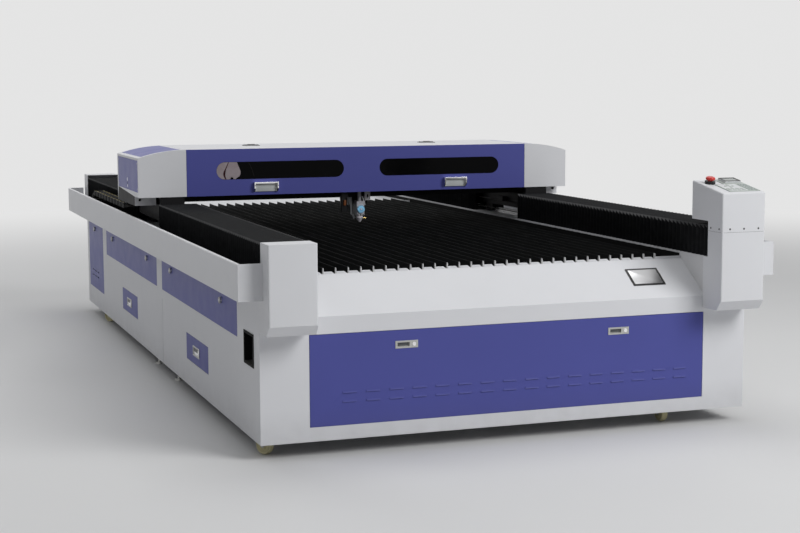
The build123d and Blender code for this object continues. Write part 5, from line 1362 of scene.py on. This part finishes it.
@dataclass
class ControlTower:
    """Screws, keys, display and stop button of the control tower.

    Places on the desk are (X, distance behind the front face).
    """

    desk_front: float = 1.026
    desk_front_distance: float = -0.150
    desk_rear: float = 1.069
    desk_rear_distance: float = 0.100
    keypad: Pair = (1.012, -0.065)
    keypad_sheet: float = 0.003
    film: float = 0.0004
    display: Pair = (1.036, 0.042)
    display_outer: Pair = (0.078, 0.062)
    display_inner: Pair = (0.064, 0.046)
    display_lift: float = 0.012
    stop: Pair = (0.930, 0.025)
    stop_lift: float = 0.0165
    stop_ribs: int = 12
    joint_height: float = 0.858
    seam_gap: float = 0.0004
    screw_rise: float = 0.014
    front_screws: Point = (0.928, 0.9965, 1.067)
    side_screws: Pair = (-0.127, -0.059)
    right_screw: Point = (1.100, -0.140, 0.634)

    def desk(self, x: float, distance: float) -> Matrix:
        """Work plane on the sloping desk.

        Args:
            x: place across the machine.
            distance: place behind the front face.

        Returns:
            The plane's matrix, its Z square to the desk.
        """
        rise = self.desk_rear - self.desk_front
        run = self.desk_rear_distance - self.desk_front_distance
        z = self.desk_front + (distance - self.desk_front_distance) * rise / run
        return plane_at((x, behind(distance), z), RIGHTWARD, (0.0, -rise, run))

    def build_keys(self) -> None:
        """Builds the keypad's film and its domed keys."""
        place = self.desk(*self.keypad) @ shift(0.0, 0.0, self.keypad_sheet)
        Form().prism(rounded(0.092, 0.112, 0.004), place @ shift(-0.025, 0.0, 0.0),
                     self.film).piece("keypad_film_left", KEY_WHITE, "base")
        grey = Form()
        for x, y in grid(3, 5, (0.034, -0.044), (0.0155, 0.022)):
            key = rounded(0.012, 0.015, 0.003)
            grey.prism(key, place @ shift(x, y, 0.0), 0.0012, 0.0004)
        grey.piece("keypad_keys_grey", KEY_GREY, "base")
        pale = Form()
        for x, y in grid(4, 2, (-0.060, -0.042), (0.022, 0.020)):
            key = rounded(0.016, 0.014, 0.004)
            pale.prism(key, place @ shift(x, y, self.film), 0.0010, 0.0003)
        for x, y in ((0.0, 0.018), (0.0, -0.018), (0.018, 0.0), (-0.018, 0.0), (0.0, 0.0)):
            key = rounded(0.013, 0.013, 0.006)
            pale.prism(key, place @ shift(x - 0.027, y + 0.024, self.film), 0.0012, 0.0004)
        pale.piece("keypad_keys_pale", KEYPAD, "base")

    def build_display(self) -> None:
        """Builds the display's rim and its glass."""
        place = self.desk(*self.display)
        rim = Form()
        (wide, high), (inner_wide, inner_high) = self.display_outer, self.display_inner
        for side in SIDES:
            post = rounded((wide - inner_wide) / 2, high, 0.002, 2)
            spot = shift(side * (wide + inner_wide) / 4, 0.0, self.display_lift)
            rim.prism(post, place @ spot, 0.0012, 0.0004)
            bar = rounded(inner_wide, (high - inner_high) / 2, 0.002, 2)
            spot = shift(0.0, side * (high + inner_high) / 4, self.display_lift)
            rim.prism(bar, place @ spot, 0.0012, 0.0004)
        rim.piece("display_rim", BLACK_PLASTIC, "base")
        Form().prism(rounded(0.0615, 0.0435, 0.001, 2), place @ shift(0.0, 0.0, 0.0106),
                     0.001).piece("display_glass", SCREEN, "base")

    def build_stop(self) -> None:
        """Builds the mushroom button with its grip ribs."""
        lift = self.stop_lift
        profile = [(0.0098, 0.0052), (0.0098, lift), (0.0185, lift + 0.001),
                   (0.0200, lift + 0.004), (0.0200, lift + 0.009), (0.0180, lift + 0.0125),
                   (0.0130, lift + 0.0145), (0.0060, lift + 0.0140), (0.0010, lift + 0.0138)]
        form = Form().turned((0.0, 0.0, 0.0), Axis.Z, profile, 48)
        for index in range(self.stop_ribs):
            turn = Matrix.Rotation(2.0 * math.pi * index / self.stop_ribs, 4, "Z")
            rib = turn @ shift(0.0196, 0.0, lift + 0.0035)
            form.prism(rounded(0.0024, 0.003, 0.001, 2), rib, 0.006, 0.0003)
        form.mesh.transform(self.desk(*self.stop))
        button = form.piece("stop_button", RED, "estop")
        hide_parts("estop_button")

    def build_joint(self) -> None:
        """Builds the joint line under the tower's upper half and the screws that hold it."""
        extent = Extent.of("tower_base")
        low, high = extent.low, extent.high
        height = self.joint_height + self.screw_rise
        x, distance, z = self.right_screw
        form = Form()
        form.heads(Screw.FLUSH, Axis.Y, [(place, low.y, height) for place in self.front_screws])
        form.heads(Screw.PAN, Axis.X,
                   [(low.x, behind(place), height) for place in self.side_screws])
        form.heads(Screw.PAN, Axis.X, [(x, behind(distance), z)], out=-1.0)
        form.piece("tower_screws", BLACK_PLASTIC, "base")
        gap, inset = self.seam_gap, 0.008
        under, over = self.joint_height - gap, self.joint_height + gap
        seam = Form()
        seam.block((low.x - gap * 0.3, low.y + inset, under), (low.x + 0.001, behind(-0.040), over))
        seam.block((low.x + inset, low.y - gap * 0.3, under), (high.x - inset, low.y + 0.001, over))
        seam.piece("tower_seam", BLACK_PLASTIC, "base")

    def build(self) -> None:
        """Builds everything on the tower."""
        self.build_keys()
        self.build_display()
        self.build_stop()
        self.build_joint()


@dataclass
class FrontSlope:
    """Bare metal plate in a black frame on the slope in front of the bed."""

    centre: Pair = (0.669, 0.1145)
    size: Pair = (0.156, 0.110)
    border: float = 0.010
    bottom: float = 0.571
    rise: float = 0.144
    run: float = 0.212

    def build(self) -> None:
        """Builds the frame and the plate inside it."""
        x, distance = self.centre
        z = self.bottom + distance * self.rise / self.run
        place = plane_at((x, behind(distance), z), RIGHTWARD, (0.0, -self.rise, self.run))
        Form().prism(rounded(*self.size, 0.003), place, 0.0022, 0.0006).piece(
            "plate_frame", BLACK_PLASTIC, "base")
        inner = [side - 2 * self.border for side in self.size]
        Form().prism(rounded(*inner, 0.002), place @ shift(0.0, 0.0, 0.0021), 0.0009,
                     0.0003).piece("bare_plate", ALUMINIUM, "base")


@dataclass
class GantryLid:
    """Torn masking paper, handle flaps and screws of the gantry's lid.

    The outlines' places are measured from the left end of the left window's middle line.
    A line's points are (place across, height, half of its width).
    """

    front: float = -0.207
    slot_left: float = -0.792
    slot_height: float = 1.0435
    slot_radius: float = 0.0445
    film_gap: float = 0.001
    paper_depth: float = 0.0004
    torn: tuple[Pair, ...] = (
        (0.0635, 0.0445), (0.0875, 0.0444), (0.1098, 0.0438), (0.1149, 0.0304),
        (0.1218, 0.0137), (0.1286, -0.0047), (0.1280, -0.0180), (0.1218, -0.0297),
        (0.1080, -0.0380), (0.1012, -0.0440), (0.0909, -0.0438), (0.0882, -0.0364),
        (0.0806, -0.0324), (0.0744, -0.0354), (0.0724, -0.0438), (0.0600, -0.0445))
    tear: tuple[Point, ...] = (
        (0.0652, 0.0438, 0.0020), (0.0600, 0.0337, 0.0022), (0.0549, 0.0204, 0.0026),
        (0.0480, 0.0070, 0.0030), (0.0412, -0.0047, 0.0032), (0.0388, -0.0164, 0.0030),
        (0.0412, -0.0280, 0.0028), (0.0463, -0.0380, 0.0026), (0.0504, -0.0440, 0.0024))
    film: tuple[Point, ...] = ((0.1715, 0.0420, 0.0008), (0.1835, 0.0187, 0.0008),
                               (0.1938, -0.0080, 0.0008), (0.2006, -0.0314, 0.0008))
    handle_x: float = 0.531
    handle_low: float = 0.932
    handle_size: Point = (0.130, 0.026, 0.050)
    handle_screws: Pair = (0.947, 0.964)
    hinge_x: float = 0.510
    hinge_screws: Point = (-0.028, 0.0, 0.028)
    knuckle: float = 0.173
    leaf_half: float = 0.022
    leaf_depth: float = 0.003

    def build_paper(self) -> None:
        """Builds the masking paper at the left end of the left window and the film's edge."""
        outline = []
        radius = self.slot_radius
        for degrees in range(-80, 81, 10):
            angle = math.radians(degrees)
            outline.append((radius + self.film_gap - radius * math.cos(angle),
                            radius * math.sin(angle)))
        face = upright(self.slot_left, self.front + 0.0016, self.slot_height)
        Form().prism([*outline, *self.torn], face, self.paper_depth).triangulated().piece(
            "masking_paper", PAPER, "lid")
        above = face @ shift(0.0, 0.0, self.paper_depth)
        for name, finish, line in (("paper_tear", TEAR, self.tear),
                                   ("film_edge", FILM_EDGE, self.film)):
            outline = [(x - half, z) for x, z, half in line]
            outline += [(x + half, z) for x, z, half in reversed(line)]
            Form().prism(outline, above, 0.0003).triangulated().piece(name, finish, "lid")

    def build_handles(self) -> None:
        """Builds the flap and the end screws of both handles."""
        wide, deep, high = self.handle_size
        for label, side in NAMED_SIDES:
            x = side * self.handle_x
            Form().block((x - wide / 2 + 0.008, self.front - 0.006, self.handle_low + 0.0005),
                         (x + wide / 2 - 0.008, self.front - 0.003,
                          self.handle_low + high - 0.0095), 0.0008).piece(
                f"handle_flap_{label}", PULL_PLATE, "lid")
            spots = [(x + end * (wide / 2 - 0.003), self.front - deep + 0.003, height)
                     for end in SIDES for height in self.handle_screws]
            Form().heads(Screw.HANDLE, Axis.Y, spots).piece(
                f"handle_screws_{label}", MATT_BLACK, "lid")

    def build_hinge_screws(self) -> None:
        """Builds the screws in both leaves of each lid hinge."""
        top = Extent.of("lid_hinges").low.z + self.leaf_depth
        for label, side, body in (("fixed", 1.0, "gantry"), ("moving", -1.0, "lid")):
            spots = [(end * self.hinge_x + x, self.knuckle + side * self.leaf_half, top)
                     for end in SIDES for x in self.hinge_screws]
            Form().heads(Screw.HINGE, Axis.Z, spots).piece(f"hinge_screws_{label}", ZINC, body)

    def build(self) -> None:
        """Builds everything on the lid."""
        self.build_paper()
        self.build_handles()
        self.build_hinge_screws()


@dataclass
class LaserHead:
    """Fittings of the laser head: disc, connectors, gas fitting and screws.

    The outlines of the sensor's arm and of the clip are (X, Z).
    """

    x: float = 0.013
    back: float = 2.120
    half: float = 0.022
    disc_height: float = 0.817
    disc_radius: float = 0.0207
    knurls: int = 28
    fitting_height: float = 0.7665
    screws: Point = (-0.003, 0.013, 0.027)
    screw_height: float = 0.787
    ring_height: float = 0.780
    arm: tuple[Pair, ...] = (
        (-0.058, 0.882), (-0.032, 0.882), (-0.030, 0.836), (-0.028, 0.792), (-0.016, 0.786),
        (-0.014, 0.766), (-0.024, 0.764), (-0.030, 0.784), (-0.040, 0.790), (-0.042, 0.834),
        (-0.058, 0.842))
    clip: tuple[Pair, ...] = ((0.030, 0.884), (0.036, 0.884), (0.052, 0.838), (0.046, 0.836))

    def build_disc(self, front: float) -> None:
        """Builds the round blue disc with its knurled rim and its hub.

        Args:
            front: Y of the lens block's front.
        """
        radius = self.disc_radius
        disc = [(radius, 0.0), (radius, -0.003), (radius - 0.002, -0.005), (0.008, -0.0052),
                (0.007, -0.0035), (0.001, -0.0035)]
        Form().turned((self.x, front - 0.0058, self.disc_height), Axis.Y, disc, 44).piece(
            "focus_disc", DISC_BLUE, "head")
        knurl = Form()
        for x, z in circle(radius + 0.0002, self.knurls):
            spot = (self.x + x, front - 0.0085, self.disc_height + z)
            knurl.rod(spot, Axis.Y, 0.0009, 0.004, 0.0, 6)
        knurl.piece("disc_knurl", DISC_BLUE, "head")
        # The hub is a real screw; its pale coat is partly its own colour and partly a painted
        # highlight at the disc's centre.
        hub = [(0.0052, 0.0), (0.0052, -0.0026), (0.0044, -0.0034), (0.0016, -0.0034),
               (0.0014, -0.0020)]
        Form().turned((self.x, front - 0.0090, self.disc_height), Axis.Y, hub, 28).piece(
            "disc_hub", SILVER, "head")

    def build_sensor(self, y: float) -> None:
        """Builds the height sensor on the left of the lens block.

        Args:
            y: Y of the lens block's middle.
        """
        case = Form()
        case.block((self.x - 0.100, y + 0.004, 0.800), (self.x - 0.062, y + 0.034, 0.905), 0.003)
        case.block((self.x - 0.066, y + 0.012, 0.850), (self.x - 0.058, y + 0.034, 0.890), 0.001)
        case.rod((-0.054, y + 0.001, 0.862), Axis.Y, 0.0030, 0.010, 0.0004, 16)
        case.piece("height_sensor_case", BLACK_PLASTIC, "head")
        Form().prism(self.arm, upright(0.0, y - 0.003, 0.0), 0.003).triangulated().piece(
            "sensor_arm", ARM_GREY, "head")
        Form().block((-0.078, y - 0.010, 0.838), (-0.064, y + 0.004, 0.868), 0.002).piece(
            "sensor_plug", ORANGE, "head")

    def build(self) -> None:
        """Builds the fittings on the head's bodies."""
        y = behind(self.back)
        front = y - self.half
        self.build_disc(front)
        spots = [(x, front, self.screw_height) for x in self.screws]
        Form().heads(Screw.BLOCK, Axis.Y, spots).piece("head_screws", MATT_BLACK, "head")
        fitting = Form()
        fitting.rod((self.x + 0.024, y, self.fitting_height), Axis.X, 0.0024, 0.024, 0.0004, 20)
        fitting.rod((self.x + 0.030, y, self.fitting_height), Axis.X, 0.0032, 0.011, 0.0005, 24)
        fitting.piece("gas_fitting", BRASS, "lens")
        self.build_sensor(y)
        white = Form().block((0.048, y + 0.008, 0.861), (0.079, y + 0.030, 0.910), 0.002)
        white.prism(self.clip, upright(0.0, y + 0.014, 0.0), 0.006, 0.0005)
        white.piece("head_connector", CONNECTOR_WHITE, "head")
        # The connector's slot is a thin near-black plate on its face: painted shade of the hole.
        Form().block((0.0597, y + 0.0074, 0.877), (0.0672, y + 0.009, 0.894), 0.0004).piece(
            "head_connector_slot_painted_shade", MATT_BLACK, "head")
        ring = [(0.0192, 0.0), (0.0212, 0.0006), (0.0212, 0.0028)]
        Form().turned((self.x, y, self.ring_height), Axis.Z, ring, 48).piece(
            "lens_ring", ZINC, "head")


@dataclass
class GantryEnds:
    """Screws of the hatches and brackets at the gantry's ends and the left hatch's pull."""

    inset: float = 0.016
    hatch_top: float = 1.105
    pull_place: float = 0.110
    pull_width: float = 0.008
    pull_heights: tuple[float, ...] = (0.954, 0.967, 0.983, 1.003)
    bracket: Point = (1.173, 2.145, 0.897)

    def build(self) -> None:
        """Builds the hatch screws, the pull and the brackets' cap screws."""
        extent = Extent.of("end_panels")
        low, high, inset = extent.low, extent.high, self.inset
        screws = Form()
        for side in SIDES:
            spots = [(side * high.x, y, z) for y in (low.y + inset, high.y - inset)
                     for z in (low.z + inset, self.hatch_top - inset)]
            screws.heads(Screw.HATCH, Axis.X, spots, out=-side)
        screws.piece("hatch_screws", ZINC, "gantry")
        x, y, half = low.x, self.pull_place, self.pull_width / 2
        foot, lower, upper, tip = self.pull_heights
        pull = Form()
        pull.block((x - 0.0003, y - half, foot), (x, y + half, lower), 0.0001)
        pull.block((x - 0.0003, y - half, upper), (x, y + half, tip), 0.0001)
        pull.piece("hatch_pull", CHROME, "gantry")
        # The pull's throat is a thin near-black plate on the face: painted shade of its recess.
        Form().block((x - 0.0002, y - half, lower), (x, y + half, upper)).piece(
            "hatch_pull_throat_painted_shade", MATT_BLACK, "gantry")
        out, distance, height = self.bracket
        spots = [(side * out, behind(distance), height) for side in SIDES]
        Form().heads(Screw.CAP, Axis.Y, spots).piece("bracket_screws", MATT_BLACK, "gantry")


@dataclass
class Electrics:
    """Fan grille and terminals of the power supply."""

    fan: Pair = (0.12, 0.02)
    rings: Point = (0.018, 0.030, 0.042)
    ring_sides: int = 36
    wire: float = 0.0012
    spoke: Pair = (0.046, 0.0014)
    terminals: int = 6
    terminal_step: float = 0.018
    terminal_width: float = 0.016

    def build(self) -> None:
        """Builds the fan grille and the terminals."""
        supply = Extent.of("power_supply")
        x, y, z = supply.low.x + self.fan[0], supply.low.y, supply.centre.z + self.fan[1]
        grille = Form()
        for radius in self.rings:
            arm = Vector((radius, 0.0, 0.0))
            turns = [2 * math.pi * index / self.ring_sides for index in range(self.ring_sides)]
            points = [Matrix.Rotation(turn, 4, "Y") @ arm for turn in turns]
            for first, second in zip(points, points[1:] + points[:1]):
                along = second - first
                middle = (first + second) / 2 + Vector((x, y - self.wire, z))
                bar = oblong(along.length * 0.55, self.wire)
                grille.prism(bar, plane_at(middle, along, FRONTWARD), self.wire)
        for degrees in (0.0, 60.0, 120.0):
            turn = math.radians(degrees)
            place = plane_at((x, y - 0.0002, z), (math.cos(turn), 0.0, math.sin(turn)), FRONTWARD)
            grille.prism(oblong(*self.spoke), place, self.wire)
        grille.piece("fan_grille", ZINC, "base")
        terminals = Form()
        for index in range(self.terminals):
            start = supply.high.x - 0.16 + index * self.terminal_step
            terminals.block((start, y - 0.012, z - 0.06),
                            (start + self.terminal_width, y, z - 0.040), 0.001)
        terminals.piece("supply_terminals", BLACK_PLASTIC, "base")


@dataclass
class Latches:
    """Bezel screws and pull plates of the front door's latches."""

    x: float = 0.482
    height: float = 0.439
    half_width: float = 0.045
    bezel: float = 0.002
    plate_shift: float = -0.014
    plate: Pair = (0.024, 0.0065)
    plate_depths: Pair = (0.0045, 0.0065)

    def build(self) -> None:
        """Builds the bezel screws and the pull plates."""
        half, tall = self.plate
        near, far = (behind(depth) for depth in self.plate_depths)
        for label, side in NAMED_SIDES:
            spots = [(side * self.x + end * self.half_width, FRONT_FACE - self.bezel, self.height)
                     for end in SIDES]
            Form().heads(Screw.DOOR, Axis.Y, spots).piece(f"latch_screws_{label}", ZINC, "door")
            # The pull plates sit in the latches' slots and are dark grey: painted shade of the
            # slots.
            x = side * self.x + self.plate_shift
            Form().block((x - half, near, self.height - tall), (x + half, far, self.height + tall),
                         0.0005).piece(f"latch_plate_painted_shade_{label}", ARM_GREY, "door")


@dataclass
class Studio:
    """Pale floor, soft lamps and the camera of the photograph.

    The camera's angles are in degrees. A lamp is (name, place, target, width, watts).
    """

    focal: float = 70.8426
    place: Point = (-2.63236, -8.20037, 1.50813)
    yaw: float = 19.6032
    pitch: float = -6.7558
    roll: float = -0.21647
    pale: Colour = (0.78, 0.78, 0.78)
    fill: Colour = (0.20, 0.205, 0.215)
    floor: tuple[Colour, Colour] = ((0.66, 0.66, 0.66), (0.70, 0.70, 0.695))
    floor_radius: float = 90.0
    floor_depth: float = 0.02
    fade: Pair = (3.6, 10.5)
    lamps: tuple[tuple[str, Point, Point, float, float], ...] = (
        ("key_lamp", (4.2, -8.0, 6.0), (0.0, -1.0, 0.5), 4.5, 560.0),
        ("top_lamp", (0.0, 1.0, 8.0), (0.0, 0.0, 0.6), 6.0, 220.0),
        ("rear_lamp", (-3.0, 9.0, 5.0), (0.0, 1.0, 0.6), 4.0, 110.0),
        ("left_lamp", (-7.0, -1.0, 7.5), (-0.5, -0.5, 0.8), 4.0, 60.0),
    )

    @staticmethod
    def seen(graph: Graph) -> Socket:
        """Share of 1 where the eye, a mirror or a glass looks at the surroundings."""
        rays = graph.add("LightPath").outputs
        plain = graph.plus(rays["Is Camera Ray"], rays["Is Glossy Ray"], clamp=True)
        return graph.plus(plain, rays["Is Transmission Ray"], clamp=True)

    def build_camera(self) -> None:
        """Stands the camera where the photograph was taken."""
        data = bpy.data.cameras.new("camera")
        data.lens = self.focal
        data.sensor_width = 36.0
        data.sensor_fit = "HORIZONTAL"
        data.clip_end = 200.0
        camera = bpy.data.objects.new("camera", data)
        bpy.context.scene.collection.objects.link(camera)
        yaw, pitch, roll = (math.radians(angle) for angle in (self.yaw, self.pitch, self.roll))
        forward = Vector((math.sin(yaw) * math.cos(pitch), math.cos(yaw) * math.cos(pitch),
                          math.sin(pitch)))
        right = Vector((math.cos(yaw), -math.sin(yaw), 0.0))
        up = right.cross(forward)
        across = right * math.cos(roll) + up * math.sin(roll)
        over = up * math.cos(roll) - right * math.sin(roll)
        turn = Matrix((across, over, -forward)).transposed().to_4x4()
        camera.matrix_world = Matrix.Translation(self.place) @ turn
        bpy.context.scene.camera = camera

    def floor_material(self) -> bpy.types.Material:
        """Material of a pale floor that glows like the surroundings far away."""
        made = bpy.data.materials.new("studio_floor")
        made.use_nodes = True
        graph = Graph(made.node_tree)
        graph.give("Roughness", 0.6)
        graph.give("Specular IOR Level", 0.15)
        graph.give("Base Color", graph.blend(graph.noise(0.7, 5.0), *self.floor))
        length = graph.add("VectorMath", operation="LENGTH")
        graph.feed(length.inputs[0], graph.add("TexCoord").outputs["Object"])
        fade = graph.add("MapRange", interpolation_type="SMOOTHSTEP")
        graph.feed(fade.inputs["Value"], length.outputs["Value"])
        graph.feed(fade.inputs["From Min"], self.fade[0])
        graph.feed(fade.inputs["From Max"], self.fade[1])
        glow = graph.add("Emission")
        graph.feed(glow.inputs["Color"], self.pale)
        mixed = graph.add("MixShader")
        graph.feed(mixed.inputs[0], graph.times(fade.outputs["Result"], self.seen(graph)))
        graph.feed(mixed.inputs[1], graph.shader.outputs[0])
        graph.feed(mixed.inputs[2], glow.outputs[0])
        graph.feed(made.node_tree.nodes["Material Output"].inputs["Surface"], mixed.outputs[0])
        return made

    def build_floor(self) -> None:
        """Lays the floor."""
        rim = [(self.floor_radius, 0.0), (self.floor_radius, self.floor_depth)]
        form = Form().turned((0.0, 0.0, -self.floor_depth), Axis.Z, rim, 96)
        bmesh.ops.recalc_face_normals(form.mesh, faces=form.mesh.faces)
        data = bpy.data.meshes.new("floor")
        form.mesh.to_mesh(data)
        form.mesh.free()
        data.materials.append(self.floor_material())
        floor = bpy.data.objects.new("floor", data)
        bpy.context.scene.collection.objects.link(floor)

    def build_lamp(self, name: str, place: Point, target: Point, size: float,
                   power: float) -> None:
        """Hangs one large soft lamp.

        Args:
            name: the lamp's name.
            place: where it hangs.
            target: what it points at.
            size: width of its square.
            power: its power in watts.
        """
        data = bpy.data.lights.new(name, "AREA")
        data.shape = "SQUARE"
        data.size = size
        data.energy = power
        lamp = bpy.data.objects.new(name, data)
        bpy.context.scene.collection.objects.link(lamp)
        lamp.location = place
        lamp.rotation_mode = "QUATERNION"
        lamp.rotation_quaternion = (Vector(target) - Vector(place)).to_track_quat("-Z", "Y")

    def build_world(self) -> None:
        """Sets the surroundings: pale to the eye, softer as light."""
        world = bpy.data.worlds.new("studio")
        world.use_nodes = True
        graph = Graph(world.node_tree)
        back = world.node_tree.nodes["Background"]
        graph.feed(back.inputs["Color"], graph.blend(self.seen(graph), self.fill, self.pale))
        bpy.context.scene.world = world

    def build(self) -> None:
        """Builds the whole studio."""
        self.build_camera()
        self.build_floor()
        for lamp in self.lamps:
            self.build_lamp(*lamp)
        self.build_world()
        bpy.context.scene.view_settings.view_transform = "Standard"


def main() -> None:
    """Builds the whole scene in order."""
    logging.basicConfig(level=logging.INFO, format="%(message)s")
    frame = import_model()
    for part in (Studio(), Effects(), CadDresser(frame["nodes"]), Bellows(), DragChain(),
                 Casters(frame["joints"]), SidePanels(), ControlTower(), FrontSlope(),
                 GantryLid(), LaserHead(), GantryEnds(), Electrics(), Latches()):
        part.build()


if __name__ == "__main__":
    main()
